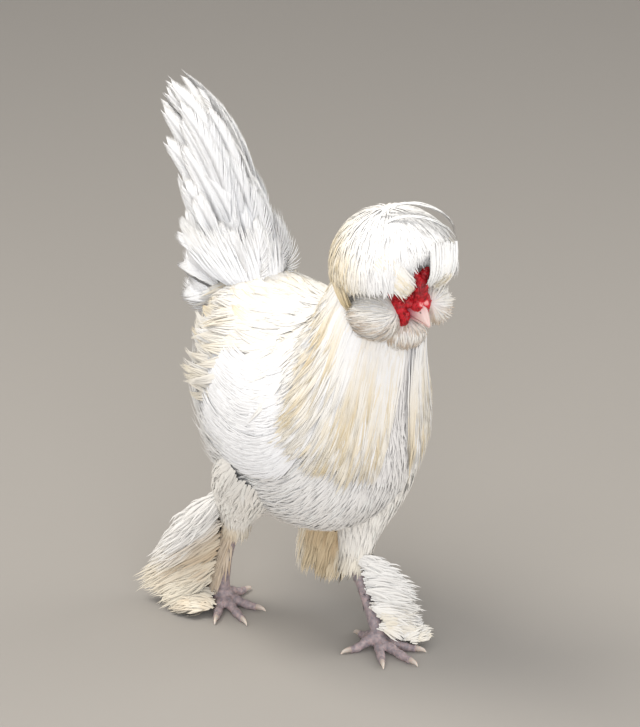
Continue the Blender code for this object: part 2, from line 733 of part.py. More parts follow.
def make_wings():
    rng = random.Random(3)
    slab = wing_patch(6.6, 3.0, 48, 98, -0.003, 0.0032, 7, 5)
    vanes = []
    for count, root_a, root_b, tip_a, tip_b, depth, half_width in WING_ROWS:
        for i in range(count):
            t = i / (count - 1)
            root = (root_a[0] + (root_b[0] - root_a[0]) * t, root_a[1] + (root_b[1] - root_a[1]) * t)
            shift = rng.uniform(-0.06, 0.06)
            tip = (tip_a[0] + (tip_b[0] - tip_a[0]) * t + shift, tip_a[1] + (tip_b[1] - tip_a[1]) * t)
            over = depth + 0.0008 * (i % 2)
            depths = (0.0005, over, over + 0.0003, over)
            vanes.append(body_lock(root, tip, depths, half_width, 0.0009, count=4))
    left = solid("wing_left", slab, "plumage")
    fuse(left, vanes)
    cut(left, [cape_shape(CAPE_CLEAR), torso_shape(GAP)])
    right = solid("wing_right", mirrored(shape_of(left)), "plumage")
    for wing, side in ((left, 1), (right, -1)):
        cut(wing, [piece for piece in saddle_locks(GAP) if reach_before(piece, 0.05, side) > 0.045])


SADDLE_ROWS = (
    # root station, tip station, depth, degrees at the root, degrees at the tip, count, half width
    (2.5, 0.50, 0.0040, 38, 112, 6, 0.0125),
    (3.4, 1.10, 0.0068, 40, 92, 5, 0.0125),
    (4.4, 2.10, 0.0096, 34, 50, 4, 0.0115),
)


def saddle_locks(grow=0.0):
    rng = random.Random(21)
    shapes = []
    for number, (root, tip, depth, wide, wide_tip, count, half_width) in enumerate(SADDLE_ROWS):
        for i in range(count):
            t = 2 * i / (count - 1) - 1 + rng.uniform(-0.05, 0.05)
            over = depth + 0.0009 * (i % 2)
            start = (root + rng.uniform(-0.1, 0.1), wide * t)
            end = (tip + rng.uniform(-0.15, 0.15), wide_tip * t)
            depths = (-0.0030, over * 0.8, over, over, over + 0.002)
            lock_width = half_width * rng.uniform(0.9, 1.1)
            shapes.append(body_lock(start, end, depths, lock_width, 0.0009, 1.5, grow))
    return shapes


TAIL_WIDTHS = (0.35, 0.85, 1.0, 0.92, 0.34)
TAIL_VANES = (
    # side offsets at root, bend and tip, root (y, z), bend (y, z), tip (y, z), half width
    ((0.003, 0.004, 0.001), (0.080, 0.352), (0.112, 0.478), (0.193, 0.517), 0.0150),
    ((0.006, 0.009, 0.005), (0.086, 0.346), (0.134, 0.444), (0.208, 0.492), 0.0150),
    ((0.003, 0.005, 0.002), (0.096, 0.336), (0.148, 0.408), (0.204, 0.464), 0.0145),
    ((0.006, 0.009, 0.006), (0.102, 0.328), (0.142, 0.374), (0.168, 0.418), 0.0155),
    ((0.003, 0.005, 0.002), (0.108, 0.316), (0.142, 0.326), (0.164, 0.352), 0.0160),
    ((0.010, 0.020, 0.010), (0.076, 0.356), (0.080, 0.430), (0.134, 0.496), 0.0150),
    ((0.012, 0.025, 0.016), (0.082, 0.346), (0.100, 0.408), (0.150, 0.448), 0.0150),
    ((0.014, 0.024, 0.018), (0.090, 0.336), (0.120, 0.374), (0.154, 0.396), 0.0145),
    ((0.013, 0.023, 0.018), (0.098, 0.326), (0.124, 0.342), (0.152, 0.350), 0.0140),
    ((0.013, 0.031, 0.026), (0.078, 0.362), (0.062, 0.398), (0.104, 0.446), 0.0150),
    ((0.016, 0.033, 0.030), (0.084, 0.350), (0.096, 0.376), (0.132, 0.388), 0.0145),
    ((0.010, 0.028, 0.022), (0.078, 0.366), (0.042, 0.376), (0.066, 0.412), 0.0145),
    ((0.015, 0.032, 0.028), (0.090, 0.332), (0.108, 0.338), (0.136, 0.322), 0.0130),
)


def make_tail():
    """A tall tent of feathers on a root block: main vanes inside, sickles over them, coverts outside."""
    rng = random.Random(17)
    root = [(0, 0.088, 0.328), (0, 0.100, 0.343), (0, 0.112, 0.357)]
    block = tube(root, (0.0225, 0.020, 0.010), (0.026, 0.027, 0.024), 14, (0, -0.7, 0.7))
    tail = solid("tail", block, "plumage")
    vanes = [ellipsoid((0, 0.076, 0.362), (0.022, 0.027, 0.024), 12, 7)]
    for side in (1, -1):
        for i, (x, a, b, c, half_width) in enumerate(TAIL_VANES):
            lower = 0.010 if side < 0 and i < 5 else 0.0
            low = (side * x[0], a[0] - 0.004, a[1] - 0.004)
            mid = (side * x[1], b[0] + rng.uniform(-0.002, 0.002), b[1])
            end = (side * x[2], c[0] - lower * 0.6, c[1] - lower)
            path = bezier(low, mid, end, 5)
            vanes.append(lock(path, (side, 0.05, 0.12), half_width, 0.0010, widths=TAIL_WIDTHS))
    fuse(tail, vanes)
    cut(tail, [torso_shape(GAP)])
    near = [piece for piece in saddle_locks(GAP) if min(np.array(piece[0])[:, 1] * -1) < -0.04]
    combine(tail, near, "DIFFERENCE")


def leg_path(leg, key_a, key_b, bend, count):
    a, b = np.array(leg[key_a]), np.array(leg[key_b])
    t = np.linspace(0, 1, count)
    return a + np.outer(t, b - a) + np.outer(np.sin(t * math.pi), bend)


def toe_paths(leg):
    """Each toe's middle line on the floor, from the ankle out, and its heading."""
    ankle = np.array(leg["ankle"])
    side = leg["side"]
    found = {}
    for toe, degrees in leg["toes"].items():
        angle = leg["heading"] + math.radians(degrees)
        out = np.array([math.sin(angle) * side, -math.cos(angle), 0.0])
        length = TOE_LENGTH[toe]
        root = np.array([ankle[0], ankle[1], 0.0]) + out * 0.004
        lift = {"hind": 0.004, "fifth": 0.004}.get(toe, 0.0)
        path = [
            root + np.array([0, 0, 0.0085 + lift]),
            root + out * length * 0.35 + np.array([0, 0, 0.0060 + lift * 0.5]),
            root + out * length * 0.70 + np.array([0, 0, 0.0038]),
            root + out * length + np.array([0, 0, 0.0034]),
        ]
        found[toe] = (np.array(path), out)
    return found


def thigh_shape(leg, grow=0.0):
    path = leg_path(leg, "knee", "hock", (0, 0.004, 0), 5)
    radii = along(THIGH_RADII, 5) + grow
    return tube(path, radii, radii * 1.12, 14, (0, -1, 0), grow)


def shank_shape(leg, grow=0.0):
    path = leg_path(leg, "hock", "ankle", (0, 0.002, 0), 6)
    path = np.vstack([path, path[-1] + (0, -0.002, -0.010)])
    radii = np.append(along(SHANK_RADII, 6), 0.0072) + grow
    return tube(path, radii, radii, 10, (0, -1, 0), grow)


def claw_shape(path, out):
    tip = path[-1] + out * GAP
    bend = ((0, 0), (0.0030, 0), (0.0065, -0.0006), (CLAW_LENGTH, -0.0030))
    spine = [tip + out * a + np.array([0, 0, z]) for a, z in bend]
    return tube(spine, (0.0026, 0.0022, 0.0015, 0.0004), (0.0032, 0.0028, 0.0018, 0.0004), 6)


def hock_vanes(leg, grow=0.0):
    """The stiff feathers that stand out behind the hock."""
    rng = random.Random(31)
    hock, side = np.array(leg["hock"]), leg["side"]
    shapes = []
    for i in range(4):
        t = i / 3
        root = hock + (side * (-0.003 + 0.006 * (i % 2)), 0.002 + 0.006 * t, 0.010 + 0.030 * t)
        tip = hock + leg["vulture"] * (1.0 - 0.42 * t) * rng.uniform(0.95, 1.05)
        tip = tip + (side * 0.004 * (i % 3 - 1), 0, 0.016 * t)
        mid = (root + tip) / 2 + (side * 0.003, 0.010, 0.006)
        shapes.append(lock(bezier(root, mid, tip, 4), (side, 0.1, 0.1 * (i % 2)), 0.0105, 0.0009, grow))
    return shapes


def shank_vanes(leg, grow=0.0):
    """Feathers down the outer side of the shank, swept out and back."""
    rng = random.Random(37)
    hock, ankle, side = np.array(leg["hock"]), np.array(leg["ankle"]), leg["side"]
    shapes = []
    for i in range(6):
        t = (i + 0.4) / 6
        on = hock + (ankle - hock) * (0.16 + 0.80 * t)
        out = leg["sweep"] * rng.uniform(0.88, 1.08) * (0.75 + 0.35 * math.sin(math.pi * t))
        tip = on + out
        tip[2] = max(tip[2], 0.0035 + 0.004 * (i % 2))
        mid = on + out * 0.5 + (side * 0.004, -0.002, 0.006)
        path = bezier(on - out * 0.03, mid, tip, 4)
        shapes.append(lock(path, (0.1 * (i % 2), -0.9, 0.5), 0.0092, 0.0009, grow))
    return shapes


def toe_vanes(leg, paths):
    """Feathers on the outer and middle toes, held just over the floor."""
    rng = random.Random(41)
    side = leg["side"]
    shapes = []
    for toe, number in (("outer", 3), ("middle", 1)):
        path, out = paths[toe]
        across = np.array([side * 0.85, 0.45 if toe == "outer" else -0.2, 0.0])
        for i in range(number):
            on = path[0] + (path[-1] - path[0]) * (0.1 + 0.6 * i / number) + (0, 0, 0.001)
            reach = 0.030 if toe == "outer" else 0.020
            tip = on + across * reach * rng.uniform(0.85, 1.1) + out * 0.012
            tip[2] = 0.0022 + 0.0012 * (i % 2)
            mid = (on + tip) / 2 + (0, 0, 0.006)
            shapes.append(lock(bezier(on, mid, tip, 4), (0, 0, 1), 0.0056, 0.0009))
    return shapes


def make_leg(name):
    leg = LEGS[name]
    ankle = np.array(leg["ankle"])
    thigh = solid("thigh_" + name, thigh_shape(leg), "plumage")
    fuse(thigh, hock_vanes(leg))
    cut(thigh, [torso_shape(GAP), cape_shape(CAPE_CLEAR)])
    shank = solid("shank_" + name, shank_shape(leg), "leg_skin")
    fuse(shank, shank_vanes(leg))
    cut(shank, [thigh_shape(leg, GAP)])
    combine(shank, hock_vanes(leg, GAP), "DIFFERENCE")
    pad = ellipsoid((ankle[0], ankle[1], 0.009), (0.0112, 0.0118, 0.0105), 12, 6)
    foot = solid("foot_" + name, pad, "leg_skin")
    toes = toe_paths(leg)
    wide, high = along((0.0062, 0.0052, 0.0046, 0.0034), 4), along((0.0072, 0.0058, 0.0048, 0.0040), 4)
    fuse(foot, [tube(path, wide, high, 6) for path, _ in toes.values()] + toe_vanes(leg, toes))
    cut(foot, [box((-0.3, -0.3, -0.1), (0.3, 0.3, 0.0)), shank_shape(leg, GAP)])
    combine(foot, shank_vanes(leg, GAP), "DIFFERENCE")
    for toe, (path, out) in toes.items():
        solid(f"claw_{name}_{toe}", claw_shape(path, out), "claw_horn")


def tidy_mesh(obj):
    """Joins the flat triangles that the Booleans left in pieces, then triangulates again."""
    mesh = bmesh.new()
    mesh.from_mesh(obj.data)
    bmesh.ops.dissolve_limit(mesh, angle_limit=math.radians(1.2), verts=mesh.verts, edges=mesh.edges)
    bmesh.ops.triangulate(mesh, faces=mesh.faces)
    mesh.to_mesh(obj.data)
    mesh.free()


def centre_over_origin():
    """Moves the whole bird so that the middle of its bounds' floor side is the origin."""
    objects = list(bpy.context.scene.objects)
    points = np.array([vert.co for obj in objects for vert in obj.data.vertices])
    low, high = points.min(axis=0), points.max(axis=0)
    shift = Matrix.Translation((-(low[0] + high[0]) / 2, -(low[1] + high[1]) / 2, -low[2]))
    for obj in objects:
        obj.data.transform(shift)


def main():
    clear_scene()
    torso = solid("torso", torso_shape(), "plumage")
    fuse(torso, saddle_locks())
    make_neck()
    make_head()
    make_face()
    make_crest()
    make_muffs()
    make_wings()
    make_tail()
    for name in LEGS:
        make_leg(name)
    for obj in bpy.context.scene.objects:
        tidy_mesh(obj)
    centre_over_origin()


if __name__ == "__main__":
    main()
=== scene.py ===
# Walking sultan cock: skin, plumage, head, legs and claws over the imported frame
import math

import bpy
import numpy as np
from mathutils import Matrix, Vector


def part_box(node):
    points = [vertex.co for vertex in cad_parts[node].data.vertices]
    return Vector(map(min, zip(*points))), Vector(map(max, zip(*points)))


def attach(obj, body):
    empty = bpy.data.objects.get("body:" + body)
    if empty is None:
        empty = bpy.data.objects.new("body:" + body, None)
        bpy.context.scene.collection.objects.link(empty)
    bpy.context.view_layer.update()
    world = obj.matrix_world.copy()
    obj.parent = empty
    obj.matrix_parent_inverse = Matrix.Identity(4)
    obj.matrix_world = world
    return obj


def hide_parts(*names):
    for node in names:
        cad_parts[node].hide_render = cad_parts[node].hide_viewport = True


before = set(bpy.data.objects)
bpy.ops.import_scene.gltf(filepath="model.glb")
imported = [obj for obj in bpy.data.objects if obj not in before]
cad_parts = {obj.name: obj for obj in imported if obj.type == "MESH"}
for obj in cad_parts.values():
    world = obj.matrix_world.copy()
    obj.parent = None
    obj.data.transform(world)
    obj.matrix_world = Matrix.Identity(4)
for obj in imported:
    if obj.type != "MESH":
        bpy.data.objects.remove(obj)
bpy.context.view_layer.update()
print("frame loaded")


# numbers and small tools

def unit(a):
    return a / np.maximum(np.linalg.norm(a, axis=-1, keepdims=True), 1e-12)


# smooth curve through values that stand at 0, 1, 2 ...: cubic pieces whose slope at a value is half the step
# between its neighbours
def curveThrough(values, at):
    values = np.asarray(values, float)
    at = np.clip(np.asarray(at, float), 0, len(values) - 1 - 1e-9)
    i = np.floor(at).astype(int)
    t = at - i
    if values.ndim > 1:
        t = t[..., None]
    last = len(values) - 1
    a, b = values[np.maximum(i - 1, 0)], values[i]
    c, d = values[np.minimum(i + 1, last)], values[np.minimum(i + 2, last)]
    return 0.5 * (2 * b + (c - a) * t + (2 * a - 5 * b + 4 * c - d) * t * t + (3 * b - a - 3 * c + d) * t**3)


def bezier(a, b, c, t):
    return a * (1 - t) ** 2 + 2 * b * t * (1 - t) + c * t**2


def along(values, count):
    return curveThrough(values, np.linspace(0, len(values) - 1, count))


def smoothStep(low, high, x):
    t = np.clip((np.asarray(x, float) - low) / (high - low), 0, 1)
    return t * t * (3 - 2 * t)


# width's share along a tuft of so many rows: full at a quarter, half at the end
def tuftProfile(rows):
    return np.interp(np.linspace(0, 1, rows), [0, 0.25, 0.7, 1], [0.6, 1, 0.9, 0.5])


# wrinkle height between about -1 and 1: a sum of plane waves in many directions
def wrinkles(points, wavelength, seed, waves=14):
    rng = np.random.default_rng(seed)
    direction = unit(rng.normal(size=(waves, 3)))
    rate = 2 * math.pi / (wavelength * rng.uniform(0.6, 1.7, waves))
    phase = rng.uniform(0, 2 * math.pi, waves)
    return np.sin(points @ (direction * rate[:, None]).T + phase).sum(axis=1) / math.sqrt(waves)


def hexColour(text):
    c = np.array([int(text[i:i + 2], 16) for i in (1, 3, 5)]) / 255
    return np.where(c <= 0.04045, c / 12.92, ((c + 0.055) / 1.055) ** 2.4)


# the body's shape, in the frame's own place

bodyShape = {
    # dorsal (y, z), ventral (y, z), half width, from the root of the tail to the nape
    "tailRoot": ((0.072, 0.352), (0.114, 0.307), 0.023),
    "rump": ((0.054, 0.357), (0.117, 0.256), 0.043),
    "saddle": ((0.034, 0.357), (0.101, 0.204), 0.062),
    "hip": ((0.010, 0.356), (0.067, 0.154), 0.077),
    "midBack": ((-0.015, 0.355), (0.020, 0.128), 0.085),
    "keel": ((-0.036, 0.355), (-0.031, 0.123), 0.088),
    "shoulder": ((-0.053, 0.358), (-0.080, 0.137), 0.085),
    "breast": ((-0.062, 0.365), (-0.119, 0.173), 0.075),
    "crop": ((-0.071, 0.376), (-0.139, 0.223), 0.059),
    "neckLow": ((-0.081, 0.390), (-0.145, 0.275), 0.045),
    "neckMid": ((-0.090, 0.404), (-0.149, 0.323), 0.036),
    "nape": ((-0.102, 0.417), (-0.155, 0.366), 0.029),
}
dorsalLine = np.array([s[0] for s in bodyShape.values()])
ventralLine = np.array([s[1] for s in bodyShape.values()])
bodyWidth = np.array([s[2] for s in bodyShape.values()])
napeAt = len(bodyShape) - 1.0

headShape = {
    "centre": (0.0, -0.1432, 0.4036), "turn": 3, "nod": 12, "skull": (0.0165, 0.0260, 0.0185),
    "eye": (0.0133, -0.0085, 0.0005), "eyeRadius": 0.0048,
    "crest": (0.0, 0.0100, 0.0195), "crestRadius": 0.0565, "crestTufts": 6900,
    "muff": (0.0305, -0.0080, -0.0165), "muffRadii": (0.0220, 0.0285, 0.0220), "muffTufts": 1950,
    "beard": (0.0, -0.0190, -0.0360), "beardRadii": (0.0230, 0.0190, 0.0160), "beardTufts": 1400,
}


def turnAbout(axis, degrees):
    c, s = math.cos(math.radians(degrees)), math.sin(math.radians(degrees))
    i, j = {"x": (1, 2), "z": (0, 1)}[axis]
    m = np.eye(3)
    m[i, i] = m[j, j] = c
    m[i, j], m[j, i] = -s, s
    return m


headTurn = turnAbout("z", -headShape["turn"]) @ turnAbout("x", headShape["nod"])
eyeCorners = np.array(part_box("eye_left"))
eyePlaced = headTurn @ np.array(headShape["eye"]) + np.array(headShape["centre"])
bodyShift = np.round(eyeCorners.mean(axis=0) - eyePlaced, 4)  # the frame is centred over its own box
print("shift", bodyShift)


# head's own axes: +x its left, -y out of the beak, +z up
def onHead(points):
    return np.asarray(points, float) @ headTurn.T + np.array(headShape["centre"]) + bodyShift


# a point at station u, v radians round from the back to the left, d outside the body's surface
def bodyPoint(u, v, d):
    u, v, d = np.broadcast_arrays(np.asarray(u, float), np.asarray(v, float), np.asarray(d, float))
    dorsal, ventral = curveThrough(dorsalLine, u), curveThrough(ventralLine, u)
    past = np.clip(-u, 0, None)[..., None]  # behind the last station the surface runs straight on
    middle, axis = (dorsal + ventral) / 2 + past * np.array([0.022, -0.012]), (dorsal - ventral) / 2
    depth = np.linalg.norm(axis, axis=-1)
    up = axis / depth[..., None]
    width = curveThrough(bodyWidth, u)
    outX, outUp = np.sin(v) / width, np.cos(v) / depth
    size = np.hypot(outX, outUp)
    yz = middle + up * (np.cos(v) * depth + outUp / size * d)[..., None]
    return np.stack([np.sin(v) * width + outX / size * d, yz[..., 0], yz[..., 1]], -1) + bodyShift


# which way the body's surface looks: across its two directions, outward
def bodyNormal(u, v):
    along = bodyPoint(u + 0.15, v, 0) - bodyPoint(u - 0.15, v, 0)
    normal = unit(np.cross(bodyPoint(u, v + 0.03, 0) - bodyPoint(u, v - 0.03, 0), along))
    outward = bodyPoint(u, v, 0.01) - bodyPoint(u, v, 0)
    return normal * np.where((normal * outward).sum(axis=-1, keepdims=True) < 0, -1.0, 1.0)


# metres that one station and one radian are worth at a place on the body
def bodyScale(u, v):
    perStation = np.linalg.norm(bodyPoint(u + 0.2, v, 0) - bodyPoint(u - 0.2, v, 0), axis=-1) / 0.4
    perRadian = np.linalg.norm(bodyPoint(u, v + 0.05, 0) - bodyPoint(u, v - 0.05, 0), axis=-1) / 0.1
    return np.maximum(perStation, 0.008), np.maximum(perRadian, 0.004)


# meshes

def meshFrom(name, points, faces, smooth=True):
    mesh = bpy.data.meshes.new(name)
    faces = np.asarray(faces, np.int32)
    sides = faces.shape[1]
    mesh.vertices.add(len(points))
    mesh.vertices.foreach_set("co", np.asarray(points, np.float32).ravel())
    mesh.loops.add(faces.size)
    mesh.loops.foreach_set("vertex_index", faces.ravel())
    mesh.polygons.add(len(faces))
    mesh.polygons.foreach_set("loop_start", np.arange(len(faces), dtype=np.int32) * sides)
    mesh.polygons.foreach_set("use_smooth", np.full(len(faces), smooth))
    mesh.update(calc_edges=True)
    obj = bpy.data.objects.new(name, mesh)
    bpy.context.scene.collection.objects.link(obj)
    return obj


def putColours(obj, colours, name="tint"):
    layer = obj.data.attributes.new(name, "FLOAT_COLOR", "POINT")
    rgba = np.ones((len(colours), 4), np.float32)
    rgba[:, :3] = colours
    layer.data.foreach_set("color", rgba.ravel())


def putValue(obj, values, name):
    layer = obj.data.attributes.new(name, "FLOAT", "POINT")
    layer.data.foreach_set("value", np.asarray(values, np.float32))


def putUv(obj, perVertex, name="OFBake"):
    layer = obj.data.uv_layers.new(name=name)
    index = np.empty(len(obj.data.loops), np.int32)
    obj.data.loops.foreach_get("vertex_index", index)
    layer.data.foreach_set("uv", np.asarray(perVertex, np.float32)[index].ravel())


# quads over a grid of rings: ring i, place j, closed round and with a fan at both ends
def ringFaces(rings, around):
    i, j = np.meshgrid(np.arange(rings - 1), np.arange(around), indexing="ij")
    k = (j + 1) % around
    a, b, c, d = i * around + j, i * around + k, (i + 1) * around + k, (i + 1) * around + j
    sides = np.stack([a, b, c, a, c, d], -1).reshape(-1, 3)
    j = np.arange(around)
    k = (j + 1) % around
    first, last = rings * around, rings * around + 1
    end = (rings - 1) * around
    caps = np.concatenate([np.stack([k, j, np.full(around, first)], -1),
                           np.stack([end + j, end + k, np.full(around, last)], -1)])
    return np.concatenate([sides, caps])


# a closed surface over rings (m, n, 3), with the middle of each end ring as its pole
def closedRings(rings):
    m, n = rings.shape[:2]
    points = np.concatenate([rings.reshape(-1, 3), rings[0].mean(axis=0)[None], rings[-1].mean(axis=0)[None]])
    faces = ringFaces(m, n)
    a, b, c = points[faces[:, 0]], points[faces[:, 1]], points[faces[:, 2]]
    if np.einsum("ij,ij->i", a, np.cross(b, c)).sum() < 0:
        faces = faces[:, ::-1]
    return points, faces


# a round tube along a path, its radii given at the path's points
def tubeSurface(path, wide, high=None, around=24, up=(0, 0, 1)):
    path = np.asarray(path, float)
    wide = np.broadcast_to(np.asarray(wide, float), len(path))
    high = wide if high is None else np.broadcast_to(np.asarray(high, float), len(path))
    tangent = unit(np.gradient(path, axis=0))
    side = unit(np.cross(tangent, np.asarray(up, float)))
    normal = np.cross(side, tangent)
    a = np.linspace(0, 2 * math.pi, around, endpoint=False)
    cos, sin = np.cos(a)[None, :, None], np.sin(a)[None, :, None]
    rings = path[:, None] + cos * (side * wide[:, None])[:, None] + sin * (normal * high[:, None])[:, None]
    return closedRings(rings)


def ballSurface(centre, radii, around=40, rings=24):
    a = np.linspace(0, 2 * math.pi, around, endpoint=False)
    b = np.linspace(0.04, math.pi - 0.04, rings)
    p = np.stack([np.outer(np.sin(b), np.cos(a)), np.outer(np.sin(b), np.sin(a)),
                  np.outer(np.cos(b), np.ones(around))], -1)
    return closedRings(p * np.asarray(radii) + np.asarray(centre))


def joined(surfaces):
    points, faces, start = [], [], 0
    for p, f in surfaces:
        points.append(np.asarray(p))
        faces.append(np.asarray(f) + start)
        start += len(p)
    return np.concatenate(points), np.concatenate(faces)


# one closed skin from overlapping closed surfaces, on a grid of voxels, then relaxed
def fusedSkin(name, surfaces, voxel, relax):
    obj = meshFrom(name, *joined(surfaces))
    remesh = obj.modifiers.new("remesh", "REMESH")
    remesh.mode, remesh.voxel_size, remesh.use_smooth_shade = "VOXEL", voxel, True
    smooth = obj.modifiers.new("smooth", "SMOOTH")
    smooth.factor, smooth.iterations = 0.6, relax
    mesh = bpy.data.meshes.new_from_object(obj.evaluated_get(bpy.context.evaluated_depsgraph_get()))
    bpy.data.objects.remove(obj)
    points = np.empty(len(mesh.vertices) * 3, np.float32)
    mesh.vertices.foreach_get("co", points)
    normals = np.empty(len(mesh.vertices) * 3, np.float32)
    mesh.vertices.foreach_get("normal", normals)
    mesh.calc_loop_triangles()
    faces = np.empty(len(mesh.loop_triangles) * 3, np.int32)
    mesh.loop_triangles.foreach_get("vertices", faces)
    bpy.data.meshes.remove(mesh)
    return points.reshape(-1, 3).astype(float), faces.reshape(-1, 3), normals.reshape(-1, 3).astype(float)


# tufts: thin closed slivers of three sides along a path, drawn out to a point

# path (n, m, 3); up (n, m, 3) or (n, 1, 3); half width (n,);
# the profile gives the width's share at all places but the last
def tuftMesh(path, up, halfWidth, profile, place, rootTint, tipTint, flat=0.22, turn=0.0, fade=1.0, arch=0.35):
    n, m = path.shape[:2]
    path = np.concatenate([path[..., :2], np.maximum(path[..., 2:], 0.0022)], -1)  # nothing goes through the floor
    rng = np.random.default_rng(n * 7 + m)
    tangent = unit(np.gradient(path, axis=1))
    side = unit(np.cross(tangent, np.broadcast_to(up, path.shape)))
    normal = np.cross(side, tangent)
    twist = (rng.normal(size=n) * turn)[:, None, None]
    side, normal = side * np.cos(twist) + normal * np.sin(twist), normal * np.cos(twist) - side * np.sin(twist)
    wide = (halfWidth[:, None] * np.asarray(profile)[None, :])[..., None]
    p, s, up3 = path[:, :-1], side[:, :-1] * wide, normal[:, :-1] * wide * flat
    rings = np.stack([p - s - up3 * 0.5, p + up3, p + s - up3 * 0.5], axis=2).reshape(n, -1, 3)
    points = np.concatenate([rings, path[:, -1:]], axis=1)
    rows = m - 1
    one = []
    for i in range(rows - 1):
        for j in range(3):
            k = (j + 1) % 3
            one += [(3 * i + j, 3 * i + k, 3 * i + 3 + k), (3 * i + j, 3 * i + 3 + k, 3 * i + 3 + j)]
    one += [(3 * rows - 3 + j, 3 * rows - 3 + (j + 1) % 3, 3 * rows) for j in range(3)] + [(0, 2, 1)]
    count = 3 * rows + 1
    faces = (np.array(one)[None] + (np.arange(n) * count)[:, None, None]).reshape(-1, 3)
    t = np.append(np.repeat(np.arange(rows) / rows, 3), 1.0)
    across = np.append(np.tile([0.0, 0.5, 1.0], rows), 0.5)
    uv = np.clip(place, 0.002, 0.998)[:, None] * 0.996 + np.stack([across, t], -1)[None] * 0.003
    lie = unit(np.broadcast_to(up, path.shape))  # normals follow the coat, a little rounded over each tuft
    over, aside = lie[:, :-1], side[:, :-1] * arch
    rim = np.stack([unit(over - aside), over, unit(over + aside)], axis=2).reshape(n, -1, 3)
    normals = np.concatenate([rim, lie[:, -1:]], axis=1)
    share = (t**fade)[None, :, None]
    tint = rootTint[:, None] * (1 - share) + tipTint[:, None] * share
    return {
        "points": points.reshape(-1, 3), "faces": faces, "uv": uv.reshape(-1, 2), "tint": tint.reshape(-1, 3),
        "normals": normals.reshape(-1, 3),
    }


def coatPiece(name, tufts, material, slotName, *nodes, lying=True):
    points, faces = joined([(t["points"], t["faces"]) for t in tufts])
    obj = meshFrom(name, points, faces)
    putUv(obj, np.concatenate([t["uv"] for t in tufts]))
    putColours(obj, np.concatenate([t["tint"] for t in tufts]))
    if lying:  # a coat that lies on the body is shaded as the body under it
        normals = np.concatenate([t["normals"] for t in tufts]).astype(np.float32)
        obj.data.normals_split_custom_set_from_vertices(normals)
    obj.data.materials.append(material)
    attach(obj, "root")
    if nodes:
        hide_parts(*nodes)
    print(name, len(faces), "triangles")
    return obj


def mixed(a, b, share):
    share = np.asarray(share, float)[..., None]
    return np.asarray(a) * (1 - share) + np.asarray(b) * share


def each(colour, count):
    return np.tile(colour, (count, 1))


# each tuft a little lighter or darker than its neighbour
def varied(colours, amount, seed):
    rng = np.random.default_rng(seed)
    return np.clip(colours * (1 + rng.normal(size=len(colours)) * amount)[:, None], 0, 0.98)


plumageColours = {
    "white": hexColour("#FBF9F5"), "snow": hexColour("#FAFBFD"), "cream": hexColour("#F3E4C2"),
    "straw": hexColour("#E6CC96"),
    # the second colour on the next line is a pale grey painted as shade under the belly
    "shade": hexColour("#E6E1DD"), "undersideShade": hexColour("#EFEBE7"), "tan": hexColour("#D2B389"),
    "brown": hexColour("#AE8E68"),
}
white, snow, cream, straw = (plumageColours[k] for k in ("white", "snow", "cream", "straw"))
shade, undersideShade, tan, brown = (plumageColours[k] for k in ("shade", "undersideShade", "tan", "brown"))


# materials

def materialNamed(name):
    material = bpy.data.materials.new(name)
    material.use_nodes = True
    return material, material.node_tree, material.node_tree.nodes["Principled BSDF"]


# adds a node: links are (socket, from node, from socket), sockets are (name, value), settings are its properties
def addNode(tree, kind, links=(), sockets=(), **settings):
    node = tree.nodes.new(kind)
    for key, value in settings.items():
        setattr(node, key, value)
    for key, value in sockets:
        node.inputs[key].default_value = value
    for key, source, output in links:
        tree.links.new(source.outputs[output], node.inputs[key])
    return node


# noise in the object's own metres
def noiseNode(tree, where, scale, detail):
    return addNode(tree, "ShaderNodeTexNoise", [("Vector", where, "Object")],
                   [("Scale", scale), ("Detail", detail)])


def bumpFrom(tree, height, strength, distance):
    return addNode(tree, "ShaderNodeBump", [("Height", height, "Fac")],
                   [("Strength", strength), ("Distance", distance)])


def rampNode(tree, source, stops):
    node = addNode(tree, "ShaderNodeValToRGB", [("Fac", source, "Fac")])
    for i, (at, colour) in enumerate(stops):
        element = node.color_ramp.elements[i] if i < 2 else node.color_ramp.elements.new(at)
        element.position, element.color = at, rgba(hexColour(colour))
    return node


def linkTo(tree, source, output, node, socket):
    tree.links.new(source.outputs[output], node.inputs[socket])


def rgba(colour):
    return (*[float(c) for c in colour], 1.0)


# feather keratin: matt, a soft sheen where barbs catch light, colour from the tuft's own tint
def featherMaterial(name, roughness, sheen):
    material, tree, shader = materialNamed(name)
    tint = addNode(tree, "ShaderNodeAttribute", attribute_name="tint")
    where = addNode(tree, "ShaderNodeTexCoord")
    mottle = noiseNode(tree, where, 90.0, 3.0)  # 11 mm clouds
    soft = addNode(tree, "ShaderNodeMapRange", [("Value", mottle, "Fac")], [("From Min", 0.3), ("From Max", 0.7),
            ("To Min", 0.955), ("To Max", 1.0)])
    colour = addNode(tree, "ShaderNodeMix", data_type="RGBA", blend_type="MULTIPLY")
    colour.inputs[0].default_value = 1.0
    tree.links.new(tint.outputs["Color"], colour.inputs[6])
    tree.links.new(soft.outputs["Result"], colour.inputs[7])
    tree.links.new(colour.outputs[2], shader.inputs["Base Color"])
    barbs = noiseNode(tree, where, 1400.0, 2.0)  # 0.7 mm barbs
    bump = bumpFrom(tree, barbs, 0.10, 0.0003)
    linkTo(tree, bump, "Normal", shader, "Normal")
    shader.inputs["Roughness"].default_value = roughness
    shader.inputs["Specular IOR Level"].default_value = 0.0
    shader.inputs["Sheen Weight"].default_value = sheen
    shader.inputs["Sheen Roughness"].default_value = 0.5
    return material


softFeather = featherMaterial("softWhiteFeather", 0.75, 0.10)
silkFeather = featherMaterial("silkyHackleFeather", 0.58, 0.12)
stiffFeather = featherMaterial("stiffVaneFeather", 0.62, 0.08)
print("materials ready")


# coat on the body

bodyCoat = {"rowGap": 0.0087, "gap": 0.0093, "length": 0.034, "halfWidth": 0.0096, "fan": 9}


